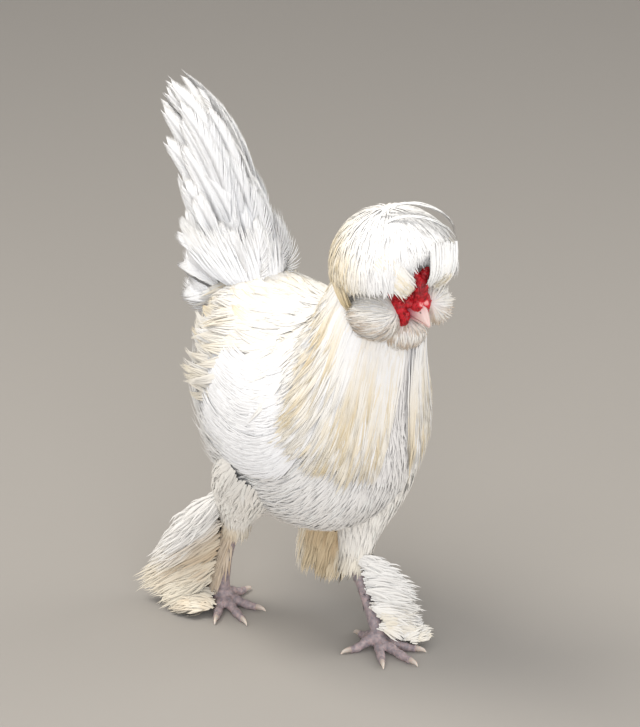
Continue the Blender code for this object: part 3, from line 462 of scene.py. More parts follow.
# staggered rows of places over a stretch of body, no further than reach radians from the middle angle
def rowsOver(uFrom, uTo, rowGap, gap, vMiddle, reach, seed):
    rng = np.random.default_rng(seed)
    us, vs, u, odd = [], [], uFrom, 0
    while u > uTo:
        v = np.linspace(-math.pi, math.pi, 721)
        ring = bodyPoint(u, v, 0)
        run = np.concatenate([[0], np.cumsum(np.linalg.norm(np.diff(ring, axis=0), axis=1))])
        count = max(int(run[-1] / gap), 6)
        at = (np.arange(count) + 0.5 * odd) / count * run[-1]
        vv = np.interp(at, run, v)
        keep = np.abs((vv - vMiddle + math.pi) % (2 * math.pi) - math.pi) < reach
        us.append(np.full(keep.sum(), u))
        vs.append(vv[keep])
        u -= rowGap / float(bodyScale(np.array(u), np.array(math.pi / 2))[0])
        odd = 1 - odd
    u, v = np.concatenate(us), np.concatenate(vs)
    return u + rng.normal(size=len(u)) * 0.05, v + rng.normal(size=len(v)) * 0.02


# a feather as a fan of tufts: tuft b in -1..1 runs L(1 - 0.14 b^2) back along the body and spreads b W sideways
def bodyFans(u, v, length, halfWidth, depths, fan, seed, rootTint, tipTint, drift=0.0, rough=0.0, rows=4,
             tuftWidth=None):
    rng = np.random.default_rng(seed)
    n = len(u)
    length, halfWidth, drift = (np.broadcast_to(np.asarray(x, float), n) for x in (length, halfWidth, drift))
    b = np.tile(np.linspace(-1, 1, fan), n) + rng.normal(size=n * fan) * 0.10
    u0, v0, L, W, D = (np.repeat(x, fan) for x in (u, v, length, halfWidth, drift))
    perStation, perRadian = bodyScale(u0, v0)
    perRadian = np.maximum(perRadian, 0.018)
    t = np.linspace(0, 1, rows + 1)[None]
    L = (L * (1 - 0.14 * b * b) * (1 + rng.normal(size=len(b)) * (0.05 + rough * 0.5)))[:, None]
    stray = (rng.normal(size=len(b)) * rough * 0.006)[:, None]
    across = (b * W)[:, None] * (0.30 + 0.70 * t**0.8) + D[:, None] * L * t + stray * t
    depth = curveThrough(np.asarray(depths), t[0] * (len(depths) - 1))[None] - (0.10 * np.abs(b) * W)[:, None] * t
    depth = depth + (rng.normal(size=len(b)) * (0.0005 + rough * 0.004))[:, None] * t
    uu, vv = u0[:, None] - L * t / perStation[:, None], v0[:, None] + across / perRadian[:, None]
    path = bodyPoint(uu, vv, depth)
    up = bodyNormal(uu, vv)
    wide = np.full(len(b), 1.35 * float(np.mean(halfWidth)) / fan if tuftWidth is None
                   else tuftWidth) * (1 + rng.normal(size=len(b)) * 0.1)
    place = np.stack([(u0 + 1) / 14, (v0 / (2 * math.pi)) % 1.0], -1)
    profile = np.interp(np.linspace(0, 1, rows), [0, 0.35, 0.75, 1], [0.7, 1.0, 0.95, 0.6])
    return tuftMesh(path, up, wide, profile, place, np.repeat(rootTint, fan, axis=0),
                    np.repeat(tipTint, fan, axis=0), turn=0.08)


# a pointed feather as a fan of tufts over the body, from (u0, v0) to (u1, v1): tuft b in -1..1 stands b W w(t)
# to the side; w swells to 1 before the middle and closes at the tip; the depths are those at root, middle and tip
def silkFeathers(u0, v0, u1, v1, depths, halfWidth, fan, seed, rootTint, tipTint, place, rows=4, tuftWidth=0.00115,
                 fade=1.2, drop=0.0, bow=1.1):
    rng = np.random.default_rng(seed)
    n = len(u0)
    many = n * fan
    b = np.tile(np.linspace(-1, 1, fan), n) + rng.normal(size=many) * 0.12
    u0, v0, u1, v1, W, lower = (np.repeat(np.broadcast_to(x, n), fan) for x in (u0, v0, u1, v1, halfWidth, drop))
    first, last = rng.uniform(0, 0.30, many), 1 - 0.16 * np.abs(b) * rng.random(many) - 0.10 * rng.random(many) ** 2
    at = first[:, None] + (last - first)[:, None] * np.linspace(0, 1, rows + 1)[None]
    swell = (0.50 + 0.50 * smoothStep(0, 0.4, at)) * (1 - 0.90 * smoothStep(0.50, 1.0, at))
    uu, vv = u0[:, None] + (u1 - u0)[:, None] * at, v0[:, None] + (v1 - v0)[:, None] * at**bow
    perRadian = np.maximum(bodyScale(uu, vv)[1], 0.018)
    vv = vv + (b * W)[:, None] * swell / perRadian
    a, m, z = (np.repeat(np.broadcast_to(x, n), fan)[:, None] for x in depths)
    depth = a + (m - a) * smoothStep(0, 0.35, at) + (z - m) * smoothStep(0.4, 1.0, at)
    depth = depth - 0.06 * (np.abs(b) * W)[:, None] * swell + (rng.normal(size=many) * 0.0003)[:, None]
    path = bodyPoint(uu, vv, depth)
    up = bodyNormal(uu, vv)
    path[..., 2] -= lower[:, None] * at**2
    wide = tuftWidth * rng.uniform(0.8, 1.2, many)
    return tuftMesh(path, up, wide, silkProfile, np.repeat(place, fan, axis=0), np.repeat(rootTint, fan, axis=0),
                    np.repeat(tipTint, fan, axis=0), turn=0.05, fade=fade)


# angle from the middle of the back, 0 to pi
def awayFromBack(v):
    return np.abs((v + math.pi) % (2 * math.pi) - math.pi)


# the station at which the cape's tips end, by the angle from the middle of the back
def capeEdge(v):
    return np.interp(np.degrees(awayFromBack(v)), [0, 25, 60, 77, 90, 105, 134, 160, 180],
                     [8.8, 8.6, 7.40, 6.6, 6.05, 6.75, 7.45, 7.9, 8.2])


# a closed shell just under a coat: rings of points, on the same unwrap as the tufts over it
def downShell(rings, tint, place):
    points, faces = closedRings(rings)
    middle = rings.mean(axis=1)
    out = np.concatenate([unit(rings - middle[:, None]).reshape(-1, 3), unit(middle[:1] - middle[1:2]),
                          unit(middle[-1:] - middle[-2:-1])])
    spot = np.concatenate([place.reshape(-1, 2), place[0, :1], place[-1, :1]])
    return {"points": points, "faces": faces, "uv": np.clip(spot, 0.002, 0.998), "tint": each(tint, len(points)),
            "normals": out}


def tintOver(u, v, seed):
    # white all over, grey and tan painted as shade under the belly, a breath of cream on the back
    under = smoothStep(2.3, 3.0, awayFromBack(v)) * smoothStep(6.6, 4.6, u)
    top = 1 - smoothStep(0.5, 1.3, awayFromBack(v))
    base = mixed(mixed(mixed(white, cream, top * 0.35), undersideShade, under * 0.6), tan, under * 0.30)
    return varied(base, 0.02, seed)


def makeBodyCoat():
    c = bodyCoat
    for name, middle, reach, top in (("breastCoat", math.pi, 1.62, 11.3), ("backCoat", 0.0, 1.56, 9.6)):
        u, v = rowsOver(top, -0.1, c["rowGap"], c["gap"], middle, reach, 3)
        away = awayFromBack(v)
        shown = (u < capeEdge(v) + 0.7) | (away > 2.55)  # the rest lies under the cape
        u, v, away = u[shown], v[shown], away[shown]
        belly = smoothStep(2.0, 2.8, away) * smoothStep(6.4, 4.4, u)
        # short loose feathers down the middle of the breast, painted greyer there as shade
        bib = smoothStep(2.4, 2.7, away) * smoothStep(7.4, 8.4, u)
        tint = mixed(tintOver(u, v, 5), shade, 0.35 * bib)
        length = c["length"] * (1 + 0.20 * belly - 0.25 * bib)
        pieces = []
        for part, depths in ((bib < 0.5, (-0.0030, 0.0014, 0.0023, 0.0025)),
                             (bib >= 0.5, (-0.0010, 0.0050, 0.0072, 0.0070))):
            if part.any():
                rough = 0.20 if name == "breastCoat" else 0.12
                pieces.append(bodyFans(u[part], v[part], length[part], c["halfWidth"], depths, c["fan"], 7,
                                       mixed(tint, shade, 0.08)[part], tint[part], rough=rough, rows=3))
        if name == "breastCoat":
            for side in (1, -1):
                angles = np.radians(np.arange(104, 150, 7.0)) * side
                us, vs = (m.ravel() for m in np.meshgrid(np.arange(2.3, 5.0, 0.28), angles, indexing="ij"))
                skirt = tintOver(us, vs, 6)
                pieces.append(bodyFans(us, vs, 0.044, 0.0100, (-0.002, 0.004, 0.0075, 0.009), 9, 8, skirt, skirt,
                                       rough=0.5, rows=3))
        else:
            us, vs = np.meshgrid(np.linspace(-0.05, 10.8, 64), np.linspace(0, 2 * math.pi, 72, endpoint=False),
                                 indexing="ij")
            shell = downShell(bodyPoint(us, vs, 0.0004), mixed(white, shade, 0.1),
                              np.stack([(us + 1) / 14, vs / (2 * math.pi)], -1))
            shell["normals"][:us.size] = bodyNormal(us, vs).reshape(-1, 3)
            pieces.append(shell)
        coatPiece(name, pieces, softFeather, "plumage")


# hackle and saddle: long pointed silky feathers that lie down the neck and over the rump

hackle = {"count": 1180, "fan": 10, "halfWidth": 0.0056}
saddle = {"count": 610, "hanging": 170, "fan": 10, "halfWidth": 0.0056}
silkProfile = (0.65, 1.0, 0.95, 0.55)


def makeHackle():
    rng = np.random.default_rng(11)
    n = hackle["count"]
    v0 = rng.uniform(-2.84, 2.84, n)  # the middle of the breast stays free of them
    edge = capeEdge(v0)
    low = edge + 1.0
    u0 = low + (11.7 - low) * rng.random(n) ** 0.85
    order = np.argsort(u0)  # the lower ones lie underneath
    v0, edge, u0 = v0[order], edge[order], u0[order]
    u1 = np.maximum(u0 - rng.uniform(2.6, 3.4, n), edge + rng.normal(size=n) * 0.17)
    v1 = v0 * 1.02 + rng.normal(size=n) * 0.03
    over = 0.0032 + 0.0085 * smoothStep(8.0, 11.4, u0)
    band = wrinkles(np.stack([np.cos(v0), np.sin(v0), u0 * 0.05], -1), 0.30, 5)
    streak = np.clip(0.55 + 0.20 * band + 0.26 * rng.normal(size=n), 0, 1.3)
    tip = varied(mixed(mixed(white, cream, np.clip(streak, 0, 1)), straw, np.clip(streak - 0.62, 0, 1) * 1.25),
                 0.015, 4)
    root = varied(mixed(each(snow, n), cream, streak * 0.15), 0.015, 6)
    place = np.stack([(u0 + 1) / 14, (v0 / (2 * math.pi)) % 1.0], -1)
    for name, keep in (("hackleLeft", v0 > 0), ("hackleRight", v0 <= 0)):
        depths = (-0.002, over[keep], over[keep] * 0.55 + 0.0044 + rng.uniform(0, 0.003, keep.sum()))
        halfWidth = hackle["halfWidth"] * rng.uniform(0.8, 1.2, keep.sum())
        tuft = silkFeathers(u0[keep], v0[keep], u1[keep], v1[keep], depths, halfWidth, hackle["fan"], 12,
                            root[keep], tip[keep], place[keep])
        coatPiece(name, [tuft], silkFeather, "straw_plumage")


def makeSaddle():
    rng = np.random.default_rng(23)
    n = saddle["count"]
    hang = np.arange(n) < saddle["hanging"]  # these leave the flank and hang as a ragged fringe
    side = np.where(rng.random(n) < 0.5, -1.0, 1.0)
    u0 = np.where(hang, rng.uniform(2.2, 4.2, n), rng.uniform(1.0, 7.4, n))
    v0 = np.where(hang, rng.uniform(0.45, 1.35, n), np.abs(rng.normal(size=n)) * 0.50) * side
    hungTo = u0 - rng.uniform(1.9, 3.0, n)
    u1 = np.where(hang, hungTo, np.maximum(u0 - rng.uniform(2.0, 3.0, n), -0.7 + rng.normal(size=n) * 0.25))
    outward, aside = rng.uniform(0.35, 0.70, n), rng.uniform(0.20, 0.75, n)
    v1 = v0 + side * np.where(hang, outward, aside * (0.35 + 0.65 * np.abs(v0)))
    out = np.where(hang, rng.uniform(0.010, 0.026, n), rng.uniform(0.003, 0.006, n))
    over = 0.0038 + 0.0010 * rng.random(n)
    band = wrinkles(np.stack([v0, u0 * 0.3, 0 * u0], -1), 0.5, 8)
    streak = np.clip(0.50 + 0.25 * band + 0.25 * rng.normal(size=n), 0, 1.2)
    streak = streak * (1 - 0.75 * smoothStep(4.2, 6.0, u0))  # white between the wings
    tip = varied(mixed(mixed(white, cream, np.clip(streak, 0, 1)), straw, np.clip(streak - 0.75, 0, 1) * 0.9),
                 0.015, 4)
    root = varied(mixed(each(white, n), cream, 0.12), 0.015, 6)
    place = np.stack([(u0 + 1) / 14, (v0 / (2 * math.pi)) % 1.0], -1)
    halfWidth = saddle["halfWidth"] * rng.uniform(0.8, 1.2, n)
    tuft = silkFeathers(u0, v0, u1, v1, (-0.002, over, out), halfWidth, saddle["fan"], 24, root, tip, place,
                        fade=1.3, drop=np.where(hang, 0.010, 0.0))
    coatPiece("saddleHackle", [tuft], silkFeather, "plumage")


# wings: folded against the flank, coverts over secondaries

# (station to, station from, step), angles from the middle of the back, length, half width, depth over the body
wingRows = (
    (4.9, 3.9, 0.22, 62, 92, 0.056, 0.0085, 0.0042),  # secondaries
    (5.6, 4.4, 0.30, 56, 92, 0.040, 0.0085, 0.0048),  # coverts
    (6.5, 5.2, 0.30, 54, 92, 0.030, 0.0085, 0.0036),  # shoulder
    (6.9, 3.8, 0.20, 90, 103, 0.046, 0.0080, 0.0066),  # lower edge
)


def makeWings():
    tufts = []
    for side in (1, -1):
        for seed, (u0, u1, gapU, v0, v1, L, W, d) in enumerate(wingRows):
            u, v = np.meshgrid(np.arange(u1, u0, gapU), np.radians(np.arange(v0, v1, 5.5)), indexing="ij")
            v = v + np.radians(2.75) * (np.arange(len(u)) % 2)[:, None]
            u, v = u.ravel(), v.ravel() * side
            tint = varied(np.tile(mixed(white, snow, 0.6), (len(u), 1)), 0.02, seed)
            tufts.append(bodyFans(u, v, L, W, (d - 0.002, d + 0.001, d + 0.0012, d), 15, 40 + seed,
                                  mixed(tint, shade, 0.2), tint, drift=0.10 * side, tuftWidth=0.0010))
    coatPiece("wingFeathers", tufts, stiffFeather, "plumage", "wing_left", "wing_right")


# vanes for the tail: a shaft with barbs on both sides

# path (m, 3) of one shaft, face: which way its flat side looks, widths: half widths along it
# barb i leaves the shaft at s_i, leans forward by the lean angle and reaches out to the vane's half width there
def vaneBarbs(path, face, widths, spacing, lean, seed, fray, droop, start=0.06):
    rng = np.random.default_rng(seed)
    fine = curveThrough(path, np.linspace(0, len(path) - 1, 60))
    run = np.concatenate([[0], np.cumsum(np.linalg.norm(np.diff(fine, axis=0), axis=1))])
    count = max(int(run[-1] * (1 - start) / spacing), 4)
    s = start + (1 - start) * (np.arange(count) + rng.uniform(-0.3, 0.3, count)) / count
    s = np.repeat(np.clip(1 - (1 - np.clip(s, 0, 1)) ** 1.25, 0, 0.995), 2)
    sideSign = np.tile([1.0, -1.0], count)
    at = np.stack([np.interp(s * run[-1], run, fine[:, i]) for i in range(3)], -1)
    slope = np.gradient(fine, axis=0)
    tangent = unit(np.stack([np.interp(s * run[-1], run, slope[:, i]) for i in range(3)], -1))
    across = unit(np.cross(tangent, face)) * sideSign[:, None]
    wide = np.interp(s, np.linspace(0, 1, len(widths)), widths) * (1 + rng.normal(size=len(s)) * fray * 0.5)
    wide *= np.where(rng.random(len(s)) < fray * 0.6, rng.uniform(0.6, 0.9, len(s)), 1)
    angle = np.radians(lean) * (1 - 0.30 * s**3)
    reach = wide / math.sin(math.radians(lean)) * (1 - 0.30 * s**4)
    normal = np.cross(across * sideSign[:, None], tangent)
    out = tangent * np.cos(angle)[:, None] + across * np.sin(angle)[:, None]
    tip = at + out * reach[:, None] + tangent * (reach * 0.16)[:, None] - normal * (wide * droop)[:, None]
    tip += rng.normal(size=tip.shape) * (wide * fray * 0.25)[:, None]
    bend = at + (out * 0.5 + across * 0.10) * reach[:, None]
    t = np.linspace(0, 1, 4)[None, :, None]
    paths = bezier(at[:, None], bend[:, None], tip[:, None], t)
    width = np.full(len(s), spacing * 0.62) * rng.uniform(0.85, 1.15, len(s))
    return paths, normal[:, None], width, s


def shaftTuft(path, face, radius, place, colour):
    fine = curveThrough(path, np.linspace(0, len(path) - 1, 12))[None]
    return tuftMesh(fine, np.asarray(face, float)[None, None], np.array([radius]), np.linspace(1.0, 0.3, 11),
                    np.array([place]), colour[None], colour[None], flat=1.4)


def vaneFeathers(shafts, spacing, lean, rootTint, tipTint, seed, fray, droop, shaft=0.0007):
    tufts = []
    for i, (path, face, widths, place) in enumerate(shafts):
        paths, up, width, s = vaneBarbs(path, face, widths, spacing, lean, seed + i, fray, droop)
        a = varied(mixed(rootTint, tipTint, s), 0.02, seed + i)
        n = len(s)
        spot = np.tile(np.asarray(place), (n, 1)) + np.stack([s * 0.05, np.tile([0.0, 0.004], n // 2)], -1)
        tufts.append(tuftMesh(paths, up, width, (0.9, 1.0, 0.7), spot, a, a, flat=0.22, turn=0.05))
        tufts.append(shaftTuft(path, face, shaft, place, mixed(rootTint, white, 0.4)))
    return tufts


# plumes as (x, y, z) at root, bend and tip for the left side, then half width,
# and how far the vane's flat side looks up
plumes = (
    ((0.002, 0.080, 0.352), (0.004, 0.106, 0.470), (0.002, 0.190, 0.512), 0.0165, 0.10),
    ((0.004, 0.086, 0.346), (0.009, 0.128, 0.446), (0.007, 0.200, 0.486), 0.0175, 0.10),
    ((0.006, 0.090, 0.342), (0.012, 0.128, 0.424), (0.010, 0.186, 0.462), 0.0170, 0.15),
    ((0.006, 0.100, 0.330), (0.012, 0.140, 0.392), (0.010, 0.158, 0.424), 0.0165, 0.15),
    ((0.006, 0.104, 0.322), (0.012, 0.128, 0.356), (0.010, 0.148, 0.388), 0.0165, 0.20),
    ((0.006, 0.108, 0.314), (0.012, 0.128, 0.326), (0.010, 0.145, 0.352), 0.0165, 0.20),
    ((0.006, 0.108, 0.306), (0.012, 0.124, 0.304), (0.010, 0.145, 0.326), 0.0150, 0.25),
    ((0.008, 0.076, 0.358), (0.016, 0.084, 0.476), (0.006, 0.180, 0.514), 0.0165, 0.10),
    ((0.010, 0.076, 0.358), (0.020, 0.080, 0.452), (0.010, 0.152, 0.504), 0.0165, 0.10),
    ((0.011, 0.078, 0.354), (0.022, 0.088, 0.432), (0.014, 0.150, 0.480), 0.0165, 0.15),
    ((0.012, 0.080, 0.350), (0.024, 0.094, 0.416), (0.016, 0.146, 0.456), 0.0165, 0.15),
    ((0.014, 0.086, 0.344), (0.026, 0.104, 0.392), (0.019, 0.138, 0.424), 0.0165, 0.15),
    ((0.014, 0.092, 0.336), (0.026, 0.118, 0.368), (0.020, 0.140, 0.390), 0.0155, 0.20),
    ((0.014, 0.098, 0.328), (0.025, 0.124, 0.344), (0.020, 0.140, 0.354), 0.0150, 0.25),
    ((0.015, 0.098, 0.320), (0.026, 0.120, 0.322), (0.021, 0.136, 0.324), 0.0140, 0.30),
    ((0.013, 0.076, 0.362), (0.024, 0.064, 0.400), (0.016, 0.108, 0.440), 0.0150, 0.15),
    ((0.015, 0.080, 0.354), (0.033, 0.078, 0.388), (0.028, 0.116, 0.420), 0.0150, 0.20),
    ((0.016, 0.084, 0.348), (0.034, 0.094, 0.372), (0.030, 0.130, 0.386), 0.0145, 0.25),
    ((0.012, 0.074, 0.364), (0.022, 0.056, 0.384), (0.016, 0.086, 0.412), 0.0145, 0.20),
    ((0.016, 0.078, 0.358), (0.034, 0.062, 0.372), (0.031, 0.092, 0.390), 0.0140, 0.25),
    ((0.002, 0.072, 0.360), (0.003, 0.068, 0.440), (0.003, 0.128, 0.498), 0.0150, 0.10),
    ((0.002, 0.068, 0.360), (0.004, 0.052, 0.418), (0.004, 0.104, 0.470), 0.0150, 0.10),
    ((0.002, 0.060, 0.358), (0.004, 0.038, 0.396), (0.004, 0.080, 0.444), 0.0150, 0.10),
    ((0.008, 0.076, 0.360), (0.014, 0.066, 0.420), (0.010, 0.116, 0.470), 0.0150, 0.10),
    ((0.008, 0.060, 0.358), (0.018, 0.046, 0.382), (0.010, 0.084, 0.424), 0.0145, 0.15),
    ((0.010, 0.050, 0.356), (0.018, 0.036, 0.378), (0.012, 0.056, 0.410), 0.0140, 0.20),
    ((0.012, 0.044, 0.355), (0.020, 0.030, 0.366), (0.014, 0.042, 0.390), 0.0125, 0.25),
    ((0.018, 0.054, 0.354), (0.028, 0.046, 0.368), (0.026, 0.064, 0.394), 0.0130, 0.30),
    ((0.020, 0.064, 0.354), (0.034, 0.056, 0.370), (0.030, 0.080, 0.398), 0.0130, 0.30),
)
tail = {
    "downTufts": 2900, "spacing": 0.00155, "lean": 30,
    "widths": (0.30, 0.66, 0.88, 0.98, 1.0, 0.96, 0.82, 0.45),
}


def makeTail():
    rng = np.random.default_rng(17)
    shafts = []
    for side in (1, -1):
        for i, (a, b, c, halfWidth, tilt) in enumerate(plumes):
            slip = rng.normal(size=(3, 3)) * [(0.0005,) * 3, (0.002,) * 3, (0.003,) * 3]
            if side < 0:  # the right half sits a little lower, so that both halves' tips show
                slip[2] += (0, 0.004, -0.012 if i < 3 else -0.004)
            path = bezier(*(np.array([a, b, c]) * (side, 1, 1) + slip), np.linspace(0, 1, 6)[:, None]) + bodyShift
            face, place = unit(np.array([side, 0.05, tilt])), (0.04 + 0.05 * i, 0.1 + 0.45 * (side > 0))
            shafts.append((path, face, np.array(tail["widths"]) * halfWidth, place))
    tufts = vaneFeathers(shafts, tail["spacing"], tail["lean"], snow, mixed(snow, white, 0.5), 60, fray=0.05,
                         droop=0.22)
    # a flat core stands between the two halves, so that no light falls through
    spine = [(0, 0.072, 0.350), (0, 0.090, 0.392), (0, 0.112, 0.432), (0, 0.140, 0.470), (0, 0.168, 0.496)]
    spine = along(spine, 24)
    wide, high = along((0.026, 0.036, 0.031, 0.022, 0.006), 24), along((0.014, 0.012, 0.008, 0.005, 0.002), 24)
    points, faces = tubeSurface(spine + bodyShift, wide, high, up=(1, 0, 0))
    spot = np.clip(np.stack([(points[:, 1] + 0.1) * 3, (points[:, 2] - 0.25) * 3], -1), 0, 1)
    tufts.append({"points": points, "faces": faces, "uv": spot, "tint": each(snow, len(points))})
    coatPiece("tailVanes", tufts, stiffFeather, "plumage", "tail", lying=False)

    # soft feathers where the tail leaves the back: they stand up against the plumes
    n = tail["downTufts"]
    a, h = rng.uniform(0, 2 * math.pi, n), rng.random(n) ** 0.8
    front = np.cos(a) < 0
    wide, deep = 0.021 + 0.006 * front, np.where(front, 0.046, 0.026)
    root = np.stack([wide * np.sin(a), 0.080 + deep * np.cos(a) + 0.008 * h, 0.344 + 0.018 * h], -1)
    upward = smoothStep(-0.2, -0.9, np.cos(a)) * 0.9 + 0.5  # steep in front, lying back behind
    out = np.stack([np.sin(a) * 0.45, np.cos(a) * 0.5 + 0.55, 0.35 + 0.7 * upward], -1)
    out = unit(out + rng.normal(size=(n, 3)) * 0.08)
    length = rng.uniform(0.026, 0.046, n)[:, None]
    tip = root + out * length + np.array([0, 0.006, 0.006])
    bend = root + out * length * 0.5 + np.stack([np.sin(a), np.cos(a), 0 * a], -1) * 0.006
    t = np.linspace(0, 1, 5)[None, :, None]
    path = bezier(root[:, None], bend[:, None], tip[:, None], t) + bodyShift
    tint = varied(mixed(each(white, n), snow, 0.7 * (1 - h) + 0.2), 0.015, 8)
    place = np.stack([a / (2 * math.pi), h * 0.9 + 0.05], -1)
    up = unit(np.stack([np.sin(a), np.cos(a) * 0.8, 0 * a + 0.35], -1))[:, None]
    tuft = tuftMesh(path, up, np.full(n, 0.0016), (0.7, 1.0, 0.9, 0.55), place, tint, tint, turn=0.2)
    coatPiece("tailFluff", [tuft], softFeather, "plumage")


# crest, muffs and beard

# places on a ball round a pole: angle from the pole, angle round it; front is -y
def ballPoint(angle, around, reach, centre, radii, pole):
    pole = unit(np.asarray(pole, float))
    side = unit(np.cross(pole, [0.0, 1.0, 0.0])) if abs(pole[1]) < 0.9 else np.array([1.0, 0, 0])
    front = np.cross(pole, side)
    front = front if front[1] < 0 else -front
    side = np.cross(front, pole)
    flat = np.sin(angle)
    ahead, aside, up = flat * np.cos(around), flat * np.sin(around), np.cos(angle)
    out = ahead[..., None] * front + aside[..., None] * side + up[..., None] * pole
    return np.asarray(centre) + out * np.asarray(radii) * reach[..., None], out


def ballTufts(n, centre, radii, pole, span, length, halfWidth, rows, seed, rootTint, tipTint, dent=None, rim=None,
              lift=(0.86, 0.97, 1.0), rough=0.02, cross=0.0, layers=0.06):
    rng = np.random.default_rng(seed)
    angle0 = np.arccos(1 - rng.random(n) * (1 - math.cos(math.radians(span))))
    around0 = rng.uniform(-math.pi, math.pi, n)
    grow = np.radians(rng.uniform(*length, n))
    start, end = angle0 - cross * grow, angle0 + (1 - cross) * grow
    if rim:  # a tuft ends where it comes down to the rim; one that starts past it is left out
        share = np.linspace(0, 1, 25)[None]
        angle, around = start[:, None] + (end - start)[:, None] * share, around0[:, None] + 0 * share
        out = ballPoint(angle, around, np.ones((n, 25)), centre, radii, pole)[1]
        fallen = np.arccos(np.clip(out[..., 2], -1, 1))
        low = fallen > rim(np.arctan2(out[..., 0], -out[..., 1])) + rng.normal(size=n)[:, None] * 0.05
        stop = np.where(low.any(axis=1), low.argmax(axis=1) / 24, 1.0)
        keep = stop > 0.35
        start, end = start[keep], (start + (end - start) * stop)[keep]
        around0, angle0 = around0[keep], angle0[keep]
        n = len(around0)
    t = np.linspace(0, 1, rows + 1)[None]
    angle = start[:, None] + (end - start)[:, None] * t
    around = around0[:, None] + (rng.normal(size=n) * 0.10)[:, None] * t
    layer = 1 - layers * rng.random(n)[:, None] ** 1.5
    rise = curveThrough(np.array(lift), t[0] * (len(lift) - 1))[None]
    reach = layer * rise + (rng.normal(size=n) * rough)[:, None] * t**2
    if dent:
        reach = reach * dent(ballPoint(angle, around, np.ones_like(angle), centre, radii, pole)[1])
    path, out = ballPoint(angle, around, reach, centre, radii, pole)
    place = np.stack([(around0 / (2 * math.pi)) % 1.0, 0.05 + 0.9 * angle0 / math.pi], -1)
    root, tip = rootTint(path[:, 0], rng), tipTint(path[:, -1], rng)
    wide = halfWidth * rng.uniform(0.7, 1.25, n)
    profile = tuftProfile(rows)
    return tuftMesh(onHead(path), (out / np.asarray(radii)) @ headTurn.T, wide, profile, place, root, tip,
                    turn=0.05)


# down under a ball of tufts: a closed cap a little inside them, drawn in below its rim,
# so that no dark shows between tufts
def downBall(centre, radii, share, dent=None, rim=None):
    points, faces = ballSurface((0, 0, 0), (1, 1, 1), 72, 48)
    out = unit(points)
    around, fallen = np.arctan2(out[:, 0], -out[:, 1]), np.arccos(np.clip(out[:, 2], -1, 1))
    size = np.full(len(out), share)
    if dent:
        size = size * dent(out)
    if rim:
        size = size * (1 - 0.55 * smoothStep(0.0, 0.5, fallen - rim(around) + 0.10))
    points = np.asarray(centre) + out * np.asarray(radii) * size[:, None]
    place = np.stack([(around / (2 * math.pi)) % 1.0, 0.05 + 0.9 * fallen / math.pi], -1)
    return {
        "points": onHead(points), "faces": faces, "uv": place, "tint": each(mixed(white, shade, 0.25), len(points)),
        "normals": unit(out / np.asarray(radii)) @ headTurn.T,
    }


# a lock along a guide in the head's frame: tufts side by side over its width,
# staggered along it, meeting at its tip
def headLock(guide, up, count, spread, halfWidth, rows, seed, root, tip, gather, loose=0.0012):
    rng = np.random.default_rng(seed)
    t = np.linspace(0, 1, rows + 1)[None]
    first, last = rng.uniform(0, 0.30, count), rng.uniform(0.72, 1.0, count)
    at = first[:, None] + (last - first)[:, None] * t
    ends = len(guide) - 1
    line = curveThrough(guide, at * ends)
    before, after = (curveThrough(guide, np.clip(at + step, 0, 1) * ends) for step in (-0.02, 0.02))
    slope = unit(after - before)
    ups = unit(curveThrough(np.asarray(up, float), at * (len(up) - 1)))
    across = unit(np.cross(slope, ups))
    where = rng.uniform(-1, 1, count)[:, None]
    narrow = spread * (1 - gather * at**1.5)
    lift = (rng.uniform(-1, 1, count) * loose)[:, None] * (0.4 + 0.6 * t) - 0.15 * spread * where**2
    stray = rng.normal(size=count)[:, None] * loose * t**2
    line = line + across * (where * narrow)[..., None] + ups * lift[..., None] + across * stray[..., None]
    place = np.stack([0.5 + 0.4 * where[:, 0], first + 0.3], -1)
    profile = tuftProfile(rows)
    a, b = varied(each(root, count), 0.03, seed), varied(each(tip, count), 0.03, seed + 1)
    return tuftMesh(onHead(line), ups @ headTurn.T, halfWidth * rng.uniform(0.8, 1.2, count), profile, place, a, b,
                    turn=0.1)


# the crest stands back round the comb: its reach drops by 0.22 from 42 to 27 degrees off straight ahead
def dentCrest(out):
    ahead = np.degrees(np.arccos(np.clip(out @ unit(np.array([0.0, -1.0, 0.08])), -1, 1)))
    return 1 - 0.22 * smoothStep(42, 27, ahead)


# how far down from the pole the crest hangs: short over the face, long at the nape
def crestRim(around):
    return np.radians(np.interp(np.abs(np.degrees(around)), [0, 14, 30, 50, 75, 90, 130, 180],
                                [50, 57, 80, 87, 95, 99, 114, 128]))


def crestTint(points, rng):
    # white on top and in front, cream along the back, straw at the low rear rim, with grey painted as shade low in
    # front over the face
    x, y, z = points.T
    back = smoothStep(0.000, 0.050, y) * smoothStep(0.070, 0.010, z)
    rimAt = smoothStep(0.030, 0.058, np.abs(x)) * smoothStep(0.050, 0.005, z) * smoothStep(-0.030, 0.010, y)
    warm = np.clip(back + rimAt, 0, 1) * rng.uniform(0.5, 1.1, len(points))
    tint = mixed(mixed(white, cream, np.clip(warm * 1.3, 0, 1)), straw, np.clip(warm - 0.55, 0, 1) * 1.3)
    # low in front the tint is mixed with grey: painted shade on the crest's underside over the face
    low = smoothStep(0.020, -0.005, z) * smoothStep(0.0, -0.03, y)
    return varied(mixed(tint, shade, 0.35 * low), 0.018, 2)


